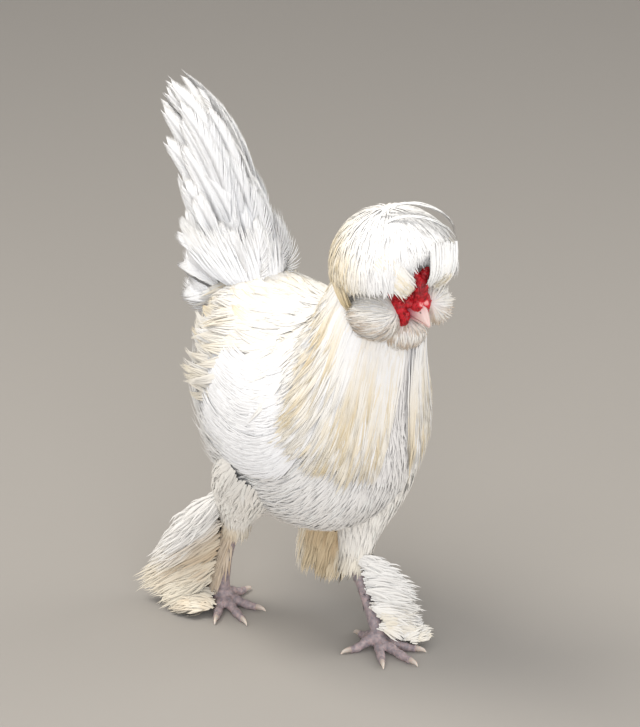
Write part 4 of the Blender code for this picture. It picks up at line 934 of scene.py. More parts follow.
def makeCrest():
    h = headShape
    radii = np.array([h["crestRadius"] * 1.06, h["crestRadius"] * 1.06, h["crestRadius"]])

    def root(points, rng):
        return varied(mixed(each(white, len(points)), shade, 0.10), 0.012, 3)

    tufts = [ballTufts(h["crestTufts"], h["crest"], radii, (0, 0.36, 0.93), 140, (36, 60), 0.00145, 5, 31, root,
                       crestTint, dentCrest, crestRim, lift=(0.925, 0.985, 1.0), rough=0.012, cross=0.45,
                       layers=0.04)]
    tufts.append(downBall(h["crest"], radii, 0.925, dentCrest, crestRim))
    for side in (1, -1):
        brow = np.array([(-0.040, -0.016, 0.054), (-0.034, -0.031, 0.041), (-0.025, -0.0380, 0.030),
                         (-0.0125, -0.0350, 0.0175)]) * (-side, 1, 1)
        lie = np.array([(-0.6, -0.4, 0.7), (-0.6, -0.7, 0.4), (-0.5, -0.8, 0.3), (-0.3, -0.9, 0.3)]) * (-side, 1, 1)
        for k, (warm, spread) in enumerate(((0.25, 0.0120), (0.80, 0.0100))):
            tufts.append(headLock(brow, lie, 150, spread, 0.0009, 5, 90 + side + 4 * k,
                                  mixed(white, cream, warm * 0.6), mixed(white, cream, warm), gather=0.5,
                                  loose=0.0022))
        if side > 0:  # the far side falls right beside the comb, the near side leaves it free
            for k, x in enumerate((0.0205, 0.0150)):
                inner = np.array([(x + 0.0040, -0.030, 0.062), (x + 0.0010, -0.0385, 0.046), (x, -0.0390, 0.032),
                                  (x - 0.0010, -0.0335, 0.0170)])
                tufts.append(headLock(inner, np.tile((0.05, -0.75, 0.60), (4, 1)), 120, 0.0130, 0.0010, 5, 140 + k,
                                      white, mixed(white, cream, 0.12), gather=0.2, loose=0.0018))
        # a straw lock hangs from the low rear rim on either side
        fall = np.array([(-0.050, 0.022, 0.030), (-0.0565, 0.020, 0.012), (-0.053, 0.012, -0.006),
                         (-0.046, 0.006, -0.018)]) * (-side, 1, 1)
        away = np.array([(-1, 0.2, 0.4), (-1, 0.1, 0.1), (-1, 0, -0.2), (-0.9, -0.1, -0.3)]) * (-side, 1, 1)
        tufts.append(headLock(fall, away, 150, 0.0110, 0.0010, 5, 120 + side, mixed(white, cream, 0.7),
                              mixed(cream, straw, 0.8), gather=0.6, loose=0.0020))
    arcs = (
        ((-0.020, 0.020, 0.060), (-0.015, 0.016, 0.0790), (0.002, 0.008, 0.0870), (0.030, -0.004, 0.0790),
         (0.050, -0.006, 0.060), (0.060, -0.004, 0.035)),
        ((-0.012, 0.024, 0.062), (-0.004, 0.016, 0.0800), (0.016, 0.008, 0.0840), (0.040, 0.000, 0.0720),
         (0.056, -0.004, 0.052)),
        ((-0.026, 0.012, 0.058), (-0.020, 0.008, 0.0715), (-0.004, 0.000, 0.0790), (0.018, -0.012, 0.0760),
         (0.040, -0.018, 0.060), (0.052, -0.016, 0.036)),
    )
    for k, arc in enumerate(arcs):
        lie = unit(np.array(arc) - (0, 0.01, 0.02))
        tufts.append(headLock(np.array(arc), lie, 13, 0.0013, 0.0007, 9, 96 + k, white, white, gather=0.3))
    coatPiece("crestFeathers", tufts, softFeather, "plumage", "crest")


def makeMuffs():
    h = headShape
    tufts = []

    def grey(points, rng):
        return varied(mixed(each(white, len(points)), shade, 0.25), 0.02, 3)

    def buff(points, rng):  # tan and brown streaks in the lower half
        base = mixed(each(white, len(points)), cream, rng.random(len(points)) * 0.5)
        streak = np.clip(0.38 + 0.60 * wrinkles(points, 0.011, 9) + 0.15 * rng.normal(size=len(points)), 0, 0.9)
        low = smoothStep(-0.004, -0.022, points[:, 2])
        return varied(mixed(base, mixed(tan, brown, 0.55), low * streak), 0.02, 5)

    for side in (1, -1):
        centre, radii = np.array(h["muff"]) * (side, 1, 1), np.array(h["muffRadii"])
        tufts.append(ballTufts(h["muffTufts"], centre, radii, (-0.50 * side, -0.72, 0.48), 135, (40, 75), 0.0009, 4,
                               50 + side, grey, buff, lift=(0.90, 0.98, 1.03), rough=0.07, cross=0.4))
        tufts.append(downBall(centre, radii, 0.88))
    radii = np.array(h["beardRadii"])
    tufts.append(ballTufts(h["beardTufts"], h["beard"], radii, (0, 0.10, 1.0), 140, (40, 70), 0.0009, 4, 55, grey,
                           buff, rough=0.08, cross=0.4))
    tufts.append(downBall(h["beard"], radii, 0.84))
    coatPiece("muffsAndBeard", tufts, softFeather, "plumage", "muff_left", "muff_right", "beard")


# legs: shape, then fluff, then the feathers of hock, shank and toe

legs = {
    "left": {
        "side": 1, "knee": (0.050, -0.058, 0.176), "hock": (0.030, -0.050, 0.080), "ankle": (0.024, -0.092, 0.020),
        "heading": 8,
        "toes": {"inner": -42, "middle": -6, "outer": 26, "hind": 172, "fifth": -112},
        "sweep": (0.046, -0.004, -0.022),
    },
    "right": {
        "side": -1, "knee": (-0.052, 0.004, 0.178), "hock": (-0.036, 0.052, 0.102), "ankle": (-0.034, 0.078, 0.026),
        "heading": 18,
        "toes": {"inner": -42, "middle": -4, "outer": 30, "hind": 172, "fifth": -112},
        "sweep": (-0.048, 0.060, -0.032),
    },
}
thighRadii = (0.036, 0.031, 0.020, 0.0115)
shankRadii = (0.0100, 0.0066, 0.0062, 0.0078)
legTufts = {"thigh": 1900, "shank": 900}
toeLength = {"inner": 0.034, "middle": 0.043, "outer": 0.035, "hind": 0.022, "fifth": 0.026}


def legPath(leg, a, b, bend, count):
    a, b, t = np.array(leg[a]), np.array(leg[b]), np.linspace(0, 1, count)
    return a + np.outer(t, b - a) + np.outer(np.sin(t * math.pi), bend) + bodyShift


def toePaths(leg):
    ankle, found = np.array(leg["ankle"]), {}
    for toe, degrees in leg["toes"].items():
        angle = math.radians(leg["heading"] + degrees)
        out = np.array([math.sin(angle) * leg["side"], -math.cos(angle), 0.0])
        root = np.array([ankle[0], ankle[1], 0.0]) + out * 0.004
        lift = {"hind": 0.004, "fifth": 0.004}.get(toe, 0.0)
        run = np.array([0, 0.35, 0.70, 1.0]) * toeLength[toe]
        height = np.array([0.0085 + lift, 0.0060 + lift * 0.5, 0.0041, 0.0036])
        found[toe] = (root + run[:, None] * out + height[:, None] * np.array([0, 0, 1.0]) + bodyShift, out)
    return found


# tufts on a tube: root at share s of its length and angle a, lying down the tube and lifting off it by d(t)
def tubeTufts(path, radii, s, a, length, lift, halfWidth, rows, seed, root, tip, place, flare):
    rng = np.random.default_rng(seed)
    n, last = len(s), len(path) - 1
    whole = np.linalg.norm(np.diff(path, axis=0), axis=1).sum()
    t = np.linspace(0, 1, rows + 1)[None]
    at = s[:, None] + (length / whole)[:, None] * t
    centre = curveThrough(path, at * last)
    end = unit((path[-1] - path[-2])[None])[0]
    first = unit((path[1] - path[0])[None])[0]
    past, before, here = np.clip(at - 1, 0, None) * whole, np.clip(at, None, 0) * whole, np.clip(at, 0, 1)
    centre = centre + end * past[..., None] + first * before[..., None]
    tangent = unit(curveThrough(path, here * last + 0.02) - curveThrough(path, here * last - 0.02) + end * 1e-6)
    side = unit(np.cross(tangent, np.array([0.0, -1.0, 0.0])))
    normal = np.cross(side, tangent)
    angle = a[:, None] + rng.normal(size=n)[:, None] * 0.12 * t
    out = side * np.cos(angle)[..., None] + normal * np.sin(angle)[..., None]
    off = curveThrough(np.asarray(radii), here * (len(radii) - 1))
    off = off + lift[:, None] * smoothStep(0, 0.6, t) - 0.002 + flare * length[:, None] * t**2
    points = centre + out * off[..., None]
    wide = halfWidth * rng.uniform(0.75, 1.25, n)
    profile = tuftProfile(rows)
    return tuftMesh(points, out, wide, profile, place, root, tip, turn=0.2)


def makeLegCoats():
    rng = np.random.default_rng(77)
    fluff = []
    for leg in legs.values():
        side, path = leg["side"], legPath(leg, "knee", "hock", (0, 0.004, 0), 5)
        n = legTufts["thigh"]
        s, a = rng.uniform(-0.36, 0.96, n), rng.uniform(-math.pi, math.pi, n)
        low = smoothStep(0.55, 1.0, s)
        inner = smoothStep(0.2, 0.9, -np.cos(a) * side)
        # cream deepens low on the thigh, and the tan low on its inner side is painted shade
        base = varied(mixed(each(white, n), cream, 0.15 + 0.55 * low * (0.5 + 0.5 * inner)), 0.03, 9)
        tip = varied(mixed(mixed(each(white, n), cream, 0.2 + 0.4 * low), tan, 0.55 * inner * low), 0.035, 10)
        place = np.stack([0.02 + 0.45 * (side > 0) + 0.40 * s, (a / (2 * math.pi)) % 1.0], -1)
        length, lift = rng.uniform(0.024, 0.036, n) * (1 - 0.2 * low), 0.003 + 0.003 * rng.random(n)
        fluff.append(tubeTufts(path, np.array(thighRadii) - 0.001, s, a, length, lift, 0.0019, 4, 12,
                               base, tip, place, flare=0.05))
        a2, s2 = np.linspace(0, 2 * math.pi, 40, endpoint=False), np.linspace(-0.05, 0.97, 24)
        middle, radius = curveThrough(path, s2 * 4), curveThrough(np.array(thighRadii), s2 * 3) - 0.0004
        tangent = unit(np.gradient(middle, axis=0))
        across = unit(np.cross(tangent, np.array([0.0, -1.0, 0.0])))
        cos, sin = np.cos(a2)[None, :, None], np.sin(a2)[None, :, None]
        out = cos * across[:, None] + sin * np.cross(across, tangent)[:, None]
        rings = middle[:, None] + out * radius[:, None, None]
        lower = 0.02 + 0.45 * (side > 0) + 0.40 * np.clip(s2, 0, 1)
        place = np.stack(np.broadcast_arrays(lower[:, None], a2[None] / (2 * math.pi)), -1)
        fluff.append(downShell(rings, mixed(white, cream, 0.2), place))
        path = legPath(leg, "hock", "ankle", (0, 0.002, 0), 6)
        m = legTufts["shank"]
        s, a = rng.uniform(-0.10, 0.80, m), rng.normal(size=m) * (0.45 if side > 0 else 0.70)
        sweep = unit(np.array(leg["sweep"]) * (1, 1, 0.0))
        tangent = unit((path[-1] - path[0])[None])[0]
        base = unit(np.cross(tangent, np.array([0.0, -1.0, 0.0])))
        middle = math.atan2(np.cross(base, tangent) @ sweep, base @ sweep) + (0.5 * side if side > 0 else 0.0)
        warm, share = (0.2, 0.05) if side > 0 else (0.9, 0.60)  # nearly white on the left shank, tan on the right
        tip = varied(mixed(each(white, m), mixed(cream, tan, warm), 0.15 * rng.random(m) + share), 0.03, 14)
        place = np.stack([0.02 + 0.45 * (side > 0) + 0.40 * s, (a / (2 * math.pi)) % 1.0], -1)
        length, lift = rng.uniform(0.022, 0.036, m), 0.002 + 0.002 * rng.random(m)
        fluff.append(tubeTufts(path, shankRadii, s, a + middle, length, lift, 0.0014, 4, 15,
                               tip, tip, place, flare=0.14))
    coatPiece("thighFluff", fluff, softFeather, "plumage", "thigh_left", "thigh_right")
    coatPiece("footFeathers", legFeathers(), softFeather, "plumage", "shank_left", "shank_right")


# loose feathers: feather i runs from share f to share e of the way between its root line and its tip line at w,
# bowed outward; tuft b in -1..1 of it stands b W w(t) to the side; most face outward, the rest inward
def bundle(rootLine, tipLine, face, count, halfWidth, seed, tintAt, place, depth=0.006, bow=0.006, fan=9, rows=4,
           tuftWidth=0.00115, ruffle=0.0018, startUpTo=0.5):
    rng = np.random.default_rng(seed)
    w, f = rng.random(count), startUpTo * rng.random(count)
    e = np.minimum(f + rng.uniform(0.45, 0.65, count), rng.uniform(0.90, 1.04, count))
    rootAt, tipAt = curveThrough(rootLine, w * (len(rootLine) - 1)), curveThrough(tipLine, w * (len(tipLine) - 1))
    face = unit(np.asarray(face, float))
    sign = np.where(rng.random(count) < 0.62, 1.0, -1.0)
    out = face * (sign * rng.uniform(0.2, 1.0, count) * depth)[:, None]
    root = rootAt + (tipAt - rootAt) * f[:, None] + out * 0.7
    tip = rootAt + (tipAt - rootAt) * e[:, None] + out + rng.normal(size=(count, 3)) * 0.0022
    bend = (root + tip) / 2 + face * (sign * bow)[:, None] + (0, 0, 0.003)
    b = np.tile(np.linspace(-1, 1, fan), count) + rng.normal(size=count * fan) * 0.15
    many = len(b)
    a, m, z, side = (np.repeat(x, fan, axis=0)[:, None] for x in (root, bend, tip, sign[:, None]))
    first, last = rng.uniform(0, 0.25, many), 1 - 0.30 * b**2 * rng.random(many) - 0.12 * rng.random(many)
    at = (first[:, None] + (last - first)[:, None] * np.linspace(0, 1, rows + 1)[None])[..., None]
    line = bezier(a, m, z, at)
    across = unit(np.cross(2 * (1 - at) * (m - a) + 2 * at * (z - m), face))
    W = (b * np.repeat(rng.uniform(0.8, 1.2, count) * halfWidth, fan))[:, None, None]
    opened, closed = 0.35 + 0.65 * smoothStep(0, 0.5, at), 1 - 0.60 * smoothStep(0.6, 1.0, at)
    line = line + across * W * opened * closed - face * side * np.abs(W) * 0.25
    line = line + rng.normal(size=(many, 1, 3)) * ruffle * at**2 + bodyShift
    near, far = tintAt(w, f, rng), tintAt(w, np.minimum(f + 0.5, 1.0), rng)
    spot = np.repeat(np.stack([place[0] + 0.4 * w, np.clip(place[1] + 0.4 * f, 0, 1)], -1), fan, axis=0)
    # those that face inward are shaded as if they looked a little upward
    look = unit(np.where(side < 0, face * (-1, -1, 1) + (0, 0, 0.5), face + line * 0))
    halfWidth = tuftWidth * rng.uniform(0.8, 1.2, many)
    near, far = (np.repeat(varied(c, 0.02, seed + i), fan, axis=0) for i, c in enumerate((near, far)))
    return tuftMesh(line, look, halfWidth, silkProfile, spot, near, far, turn=0.1)


# the feathers of hock, shank and toe: swept out and back on the right,
# down the shank's front and outside on the left
def legFeathers():
    ochre = mixed(tan, brown, 0.25)

    def whiteTint(w, f, rng):
        return mixed(each(white, len(w)), cream, 0.08 + 0.55 * rng.random(len(w)) * smoothStep(0.3, 1.0, w))

    def hockTint(w, f, rng):  # tan inside, cream at both edges and ends
        inside = smoothStep(0.0, 0.25, w) * smoothStep(1.0, 0.70, w)
        share = np.clip(inside * (0.45 + 0.45 * rng.random(len(w))) * (1.1 - 0.7 * f), 0, 1)
        return mixed(mixed(each(cream, len(w)), white, 0.4 * (1 - inside)), ochre, share)

    def sweepTint(w, f, rng):  # white above, tan along the middle, cream below
        middle = smoothStep(0.25, 0.50, w) * smoothStep(0.95, 0.70, w) * smoothStep(0.85, 0.45, f)
        base = mixed(each(white, len(w)), cream, 0.12 + 0.50 * smoothStep(0.25, 0.6, w))
        return mixed(base, mixed(tan, brown, 0.5), np.clip(middle * rng.uniform(0.2, 0.8, len(w)), 0, 1))

    def toeTint(w, f, rng):
        return mixed(mixed(each(white, len(w)), cream, 0.55), tan, 0.5 * rng.random(len(w)) * w)

    right = ([(-0.064, 0.028, 0.158), (-0.050, 0.050, 0.122), (-0.038, 0.058, 0.092), (-0.037, 0.072, 0.056),
              (-0.037, 0.084, 0.024)],
             [(-0.074, 0.108, 0.074), (-0.080, 0.128, 0.046), (-0.085, 0.142, 0.020), (-0.086, 0.138, 0.008),
              (-0.088, 0.108, 0.005)])
    leftShank = ([(0.0227, -0.0541, 0.0860), (0.0207, -0.0681, 0.0635), (0.0187, -0.0821, 0.0435),
                  (0.0180, -0.0950, 0.0250)],
                 [(0.056, -0.082, 0.066), (0.070, -0.100, 0.050), (0.072, -0.106, 0.024), (0.062, -0.110, 0.006)])
    leftHock = ([(0.034, 0.018, 0.128), (0.036, -0.006, 0.118), (0.034, -0.024, 0.104), (0.030, -0.042, 0.084)],
                [(0.029, 0.030, 0.040), (0.031, 0.014, 0.028), (0.034, -0.006, 0.032), (0.035, -0.026, 0.046)])
    leftToe = ([(0.028, -0.098, 0.014), (0.036, -0.110, 0.011), (0.043, -0.120, 0.008)],
               [(0.072, -0.094, 0.016), (0.079, -0.106, 0.009), (0.070, -0.122, 0.004)])
    rightToe = ([(-0.038, 0.078, 0.014), (-0.048, 0.066, 0.010), (-0.056, 0.058, 0.008)],
                [(-0.082, 0.116, 0.006), (-0.090, 0.098, 0.005), (-0.086, 0.084, 0.004)])
    return [
        bundle(*right, (-0.85, -0.45, 0.25), 250, 0.0075, 301, sweepTint, (0.05, 0.05), depth=0.010, bow=0.007,
               ruffle=0.0030),
        bundle(*leftShank, (-0.35, -0.90, 0.25), 190, 0.0060, 302, whiteTint, (0.55, 0.05), depth=0.009, bow=0.007,
               ruffle=0.0032, startUpTo=0.4),
        bundle(*leftHock, (-0.95, -0.25, 0.05), 130, 0.0068, 303, hockTint, (0.55, 0.5), depth=0.009, bow=0.004),
        bundle(*leftToe, (-0.20, -0.45, 0.85), 60, 0.0050, 304, whiteTint, (0.05, 0.5), depth=0.006, bow=0.006),
        bundle(*rightToe, (-0.45, -0.30, 0.85), 60, 0.0055, 305, toeTint, (0.05, 0.5), depth=0.005, bow=0.006),
    ]


# skin: body, legs and head closed in one mesh

skinShape = {"bodyUnder": 0.0065, "bodyVoxel": 0.0040, "legVoxel": 0.00105, "headVoxel": 0.00064, "scute": 0.0034}


def bodySurface():
    a = np.linspace(0, 2 * math.pi, 56, endpoint=False)
    u = np.linspace(0, napeAt, 48)[:, None]
    under = np.minimum(skinShape["bodyUnder"], 0.004 + 0.02 * (1 - u / napeAt))
    return closedRings(bodyPoint(u, a[None], -under))


def combSurfaces():
    ridge = tubeSurface(along([(0, -0.0345, 0.0050), (0, -0.0345, 0.0120), (0, -0.0320, 0.0200),
                               (0, -0.0285, 0.0285)], 12),
                        along((0.0056, 0.0064, 0.0066, 0.0060), 12), along((0.0036, 0.0052, 0.0056, 0.0048), 12),
                        up=(0, -1, 0))
    spine = along([(0.0016, -0.0290, 0.0245), (0.0044, -0.0288, 0.0290), (0.0070, -0.0284, 0.0330),
                   (0.0088, -0.0278, 0.0368)], 14)
    wide, thick = along((0.0052, 0.0052, 0.0044, 0.0024), 14), along((0.0042, 0.0042, 0.0034, 0.0018), 14)
    horn = tubeSurface(spine, wide, thick, up=(0, -1, 0))
    other = (horn[0] * (-1, 1, 1), horn[1][:, ::-1])
    base = tubeSurface([(0, -0.020, 0.0080), (0, -0.028, 0.0085), (0, -0.0335, 0.0080)], (0.0072, 0.0064, 0.0046),
                       (0.0070, 0.0060, 0.0042))
    return [ridge, horn, other, base]


def makeSkin():
    thighs = []
    for leg in legs.values():
        path, thick = legPath(leg, "knee", "hock", (0, 0.004, 0), 9), along(thighRadii, 9)
        thighs.append(tubeSurface(path, thick * 0.80, thick * 0.86, up=(0, -1, 0)))
    body = fusedSkin("body", [bodySurface(), *thighs], skinShape["bodyVoxel"], 6)
    feet = []
    for leg in legs.values():
        path = np.vstack([legPath(leg, "hock", "ankle", (0, 0.002, 0), 10),
                          np.array(leg["ankle"]) + (0, -0.002, -0.010) + bodyShift])
        thick = np.append(along(shankRadii, 10), 0.0068) * 0.96
        pads = [tubeSurface(path, thick, thick, up=(0, -1, 0))]
        ankle = np.array(leg["ankle"])
        pads.append(ballSurface(np.array([ankle[0], ankle[1], 0.0095]) + bodyShift, (0.0106, 0.0112, 0.0092)))
        for way, _ in toePaths(leg).values():
            fine = along(way, 16)
            knuckle = 1 + 0.10 * np.cos(np.linspace(0, 3, 16) * 2 * math.pi)
            pads.append(tubeSurface(fine, along((0.0060, 0.0049, 0.0043, 0.0033), 16) * knuckle,
                                    along((0.0066, 0.0052, 0.0044, 0.0038), 16) * knuckle))
        feet.append(fusedSkin("foot", pads, skinShape["legVoxel"], 3))
    scaled = []
    for (points, faces, normals), leg in zip(feet, legs.values()):
        hock, ankle = np.array(leg["hock"]) + bodyShift, np.array(leg["ankle"]) + bodyShift
        run = (points - hock) @ unit((ankle - hock)[None])[0]
        plate = np.abs((run / skinShape["scute"]) % 1.0 - 0.5) * 2
        away = np.linalg.norm(points[:, :2] - ankle[None, :2], axis=1)
        onFoot = smoothStep(0.026, 0.016, points[:, 2])
        plate = plate * (1 - onFoot) + (np.abs((away / 0.0028) % 1.0 - 0.5) * 2) * onFoot
        height = -0.00028 * smoothStep(0.62, 1.0, plate) + 0.00006 * wrinkles(points, 0.0018, 3)
        moved = points + normals * height[:, None]
        moved[:, 2] = np.maximum(moved[:, 2], 0.0002)
        scaled.append((moved, faces))
    head = headSkin()
    pieces = [(body[0], body[1], 0.0), *((p, f, 1.0) for p, f in scaled), (head[0], head[1], 2.0)]
    points, faces = joined([(p, f) for p, f, _ in pieces])
    skin = meshFrom("skin", points, faces)
    kind = np.concatenate([np.full(len(p), k) for p, _, k in pieces])
    putValue(skin, (kind == 1.0).astype(float), "scaled")
    putValue(skin, (kind == 2.0).astype(float), "face")
    faceRedShadeAndHighlight = np.zeros(len(points))
    faceRedShadeAndHighlight[kind == 2.0] = head[2]
    putValue(skin, faceRedShadeAndHighlight, "faceRedShadeAndHighlight")
    putUv(skin, np.clip(np.stack([(points[:, 0] + 0.1) * 4, (points[:, 2]) * 1.8], -1), 0, 1))
    skin.data.materials.append(skinMaterial())
    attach(skin, "root")
    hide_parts("torso", "neck", "head", "comb", "wattle_left", "wattle_right", "foot_left", "foot_right")
    print("skin", len(faces), "triangles")


def headSkin():
    h = headShape
    skull = ballSurface((0, 0, 0), h["skull"], 64, 48)
    throat = tubeSurface(np.array([(0, -0.014, -0.010), (0, -0.002, -0.024), (0, 0.010, -0.040)]),
                         (0.0120, 0.0160, 0.0210))
    cere = [ballSurface((side * 0.0044, -0.0345, 0.0030), (0.0048, 0.0066, 0.0058)) for side in (1, -1)]
    brow = [ballSurface((side * 0.0085, -0.0240, 0.0035), (0.0062, 0.0100, 0.0062)) for side in (1, -1)]
    cheek = [ballSurface((side * 0.0142, -0.0185, -0.0050), (0.0064, 0.0130, 0.0108)) for side in (1, -1)] + brow
    wattle = []
    drop = along([(0.0090, -0.0230, -0.0080), (0.0115, -0.0250, -0.0140), (0.0120, -0.0262, -0.0185),
                  (0.0112, -0.0268, -0.0215)], 12)
    wide, thick = along((0.0100, 0.0100, 0.0074, 0.0022), 12), along((0.0034, 0.0040, 0.0032, 0.0012), 12)
    for side in (1, -1):
        wattle.append(tubeSurface(drop * (side, 1, 1), wide, thick, up=(side, 0, 0)))
    lids = [lidRing(side) for side in (1, -1)]
    points, faces, normals = fusedSkin("head", [skull, throat, *cere, *cheek, *wattle, *combSurfaces()],
                                       skinShape["headVoxel"], 5)
    # the sockets: skin inside the eyeball's ball is pushed back behind it
    for side in (1, -1):
        eye = np.array(h["eye"]) * (side, 1, 1)
        far = points - eye
        distance = np.linalg.norm(far, axis=1, keepdims=True)
        inside = np.clip(h["eyeRadius"] + 0.0004 - distance, 0, None) * (np.abs(points[:, :1]) > 0.004)
        points = points - np.array([side, 0, 0]) * inside * 1.3
    fold = np.abs(wrinkles(points * (1, 1.6, 0.8), 0.0034, 21))  # folds run up and down
    rise = fold * 0.00062 + wrinkles(points, 0.0011, 22) * 0.00010
    points = points + normals * rise[:, None]
    # the red deepens in the creases between the folds: painted shade
    redShadeAndHighlight = np.clip(0.60 + 0.14 * wrinkles(points, 0.006, 23) + 0.34 * smoothStep(0.45, 0.0, fold), 0.2, 1.0)
    comb = smoothStep(0.004, 0.012, points[:, 2]) * smoothStep(-0.016, -0.024, points[:, 1])
    mirrored = np.abs(points) * (1, 0, 0) + points * (0, 1, 1)
    # a small pale pink spot on top of the cere is a painted highlight
    cereHighlight = smoothStep(0.0050, 0.0015, np.linalg.norm(mirrored - (0.0030, -0.0385, 0.0065), axis=1))
    mouthAt = smoothStep(-0.030, -0.037, points[:, 1]) * smoothStep(0.002, -0.004, points[:, 2])
    redShadeAndHighlight = np.clip(redShadeAndHighlight + 0.16 * comb - 0.60 * cereHighlight + 0.25 * mouthAt, 0, 1)
    count = len(points)
    points, faces = joined([(points, faces), *lids])
    redShadeAndHighlight = np.concatenate([redShadeAndHighlight, np.full(len(points) - count, 0.45)])
    return onHead(points), faces, redShadeAndHighlight


# the rim of the lids: a ring round the eye, almond-shaped, thick above, closed on itself
def lidRing(side):
    h = headShape
    a = np.linspace(0, 2 * math.pi, 64, endpoint=False)
    eye, r = np.array(h["eye"]), h["eyeRadius"]
    opening = np.stack([np.zeros(64), np.cos(a) * r * 0.80, np.sin(a) * r * (0.52 - 0.05 * np.sin(a))], -1)
    opening[:, 0] = np.sqrt(np.clip((r * 1.05) ** 2 - opening[:, 1] ** 2 - opening[:, 2] ** 2, 0, None))
    b = np.linspace(0, 2 * math.pi, 12, endpoint=False)
    outward = unit(opening * (0, 1, 1))
    fat = 0.0008 + 0.0003 * np.clip(np.sin(a), 0, 1)
    flat, high = (part[None, :, None] * fat[:, None, None] for part in (np.cos(b), np.sin(b)))
    ring = (eye + opening)[:, None] + outward[:, None] * (flat + 0.0006) + np.array([1.0, 0, 0]) * high
    n, m = ring.shape[:2]
    i, j = np.meshgrid(np.arange(n), np.arange(m), indexing="ij")
    i2, j2 = (i + 1) % n, (j + 1) % m
    faces = np.stack([i * m + j, i2 * m + j, i2 * m + j2, i * m + j, i2 * m + j2, i * m + j2], -1).reshape(-1, 3)
    points = ring.reshape(-1, 3) * (side, 1, 1)
    p = points[faces]
    middle = ring.mean(axis=1)[:, None].repeat(m, axis=1).reshape(-1, 3) * (side, 1, 1)
    out = (p.mean(axis=1) - middle[faces].mean(axis=1))
    if np.einsum("ij,ij->i", np.cross(p[:, 1] - p[:, 0], p[:, 2] - p[:, 0]), out).sum() < 0:
        faces = faces[:, ::-1]
    return points, faces


# skin under feathers, scaled shanks and bare red face in one material, told apart by the mesh's own values
def skinMaterial():
    material, tree, shader = materialNamed("poultrySkinScaledLegsAndRedFace")
    where = addNode(tree, "ShaderNodeTexCoord")
    scaledAt = addNode(tree, "ShaderNodeAttribute", attribute_name="scaled")
    faceAt = addNode(tree, "ShaderNodeAttribute", attribute_name="face")
    redShadeAndHighlight = addNode(tree, "ShaderNodeAttribute", attribute_name="faceRedShadeAndHighlight")
    blotch = noiseNode(tree, where, 260.0, 4.0)  # 4 mm blotches
    grain = noiseNode(tree, where, 2200.0, 2.0)  # 0.45 mm grain

    def mix(factor, output, a, b):
        node = addNode(tree, "ShaderNodeMix", data_type="RGBA")
        tree.links.new(factor.outputs[output], node.inputs[0])
        tree.links.new(a.outputs["Color"] if "Color" in a.outputs else a.outputs[2], node.inputs[6])
        tree.links.new(b.outputs["Color"] if "Color" in b.outputs else b.outputs[2], node.inputs[7])
        return node

    body = rampNode(tree, blotch, [(0.35, "#F3EEE9"), (0.65, "#EFE6E0")])
    legSkin = rampNode(tree, blotch, [(0.34, "#8E8488"), (0.66, "#B9A5A4")])
    # the ramp's dark end carries painted shade in the face's creases, its pale end a painted highlight on the cere
    faceSkin = rampNode(tree, redShadeAndHighlight, [(0.0, "#F2A9A6"), (0.35, "#D82434"), (0.7, "#BE0A1A"), (1.0, "#76040C")])
    colour = mix(faceAt, "Fac", mix(scaledAt, "Fac", body, legSkin), faceSkin)
    tree.links.new(colour.outputs[2], shader.inputs["Base Color"])
    bump = bumpFrom(tree, grain, 0.35, 0.0003)
    linkTo(tree, bump, "Normal", shader, "Normal")
    shader.inputs["Roughness"].default_value = 0.50
    shader.inputs["Subsurface Weight"].default_value = 0.12
    shader.inputs["Subsurface Radius"].default_value = (0.0025, 0.0008, 0.0005)
    shader.inputs["Subsurface Scale"].default_value = 1.0
    return material


# beak, eyes and claws

def beakHalf(upper):
    y = np.array([-0.016, -0.026, -0.036, -0.043, -0.049, -0.0522])
    top = np.array([0.0092, 0.0085, 0.0060, 0.0010, -0.0060, -0.0100])
    mouth = np.array([-0.0085, -0.0085, -0.0085, -0.0090, -0.0105, -0.0118])
    low = np.array([-0.0148, -0.0148, -0.0142, -0.0132, -0.0125, -0.0121])
    wide = np.array([0.0104, 0.0098, 0.0080, 0.0056, 0.0028, 0.0009])
    s = np.linspace(0, 5, 40)
    y, top, mouth, low, wide = (curveThrough(v, s) for v in (y, top, mouth, low, wide))
    t = np.linspace(0, math.pi, 26)
    under = np.linspace(math.pi, 0, 14)[1:-1]
    a, b = (mouth + 0.0006, top) if upper else (mouth - 0.0006, low)
    x = np.cos(t)[None] * wide[:, None] * (1 if upper else 0.9)
    z = a[:, None] + np.sin(t)[None] ** 0.9 * (b - a)[:, None]
    xu = np.cos(under)[None] * wide[:, None] * (1 if upper else 0.9)
    zu = a[:, None] + 0 * xu
    if upper:  # the nostril is a slit sunk in its side
        sunk = np.exp(-(((y[:, None] + 0.0400) / 0.0018) ** 2) - ((z + 0.0010) / 0.0009) ** 2)
        x = x - np.sign(x) * sunk * 0.0014
    x, z = np.concatenate([x, xu], 1), np.concatenate([z, zu], 1)
    return closedRings(np.stack([x, np.repeat(y[:, None], x.shape[1], 1), z], -1))


def hornMaterial(name, base, tip, wax):
    material, tree, shader = materialNamed(name)
    where = addNode(tree, "ShaderNodeTexCoord")
    tint = addNode(tree, "ShaderNodeAttribute", attribute_name="along")
    streak = noiseNode(tree, where, 700.0, 3.0)  # 1.4 mm streaks
    ramp = rampNode(tree, tint, ((0.0, base), (0.90, tip), (1.0, "#4A1E22")))  # the dark end is painted shade for the nostril's hollow
    tree.links.new(ramp.outputs["Color"], shader.inputs["Base Color"])
    bump = bumpFrom(tree, streak, 0.2, 0.0002)
    linkTo(tree, bump, "Normal", shader, "Normal")
    shader.inputs["Roughness"].default_value = wax
    shader.inputs["Subsurface Weight"].default_value = 0.15
    shader.inputs["Subsurface Radius"].default_value = (0.0012, 0.0006, 0.0004)
    shader.inputs["Subsurface Scale"].default_value = 1.0
    return material


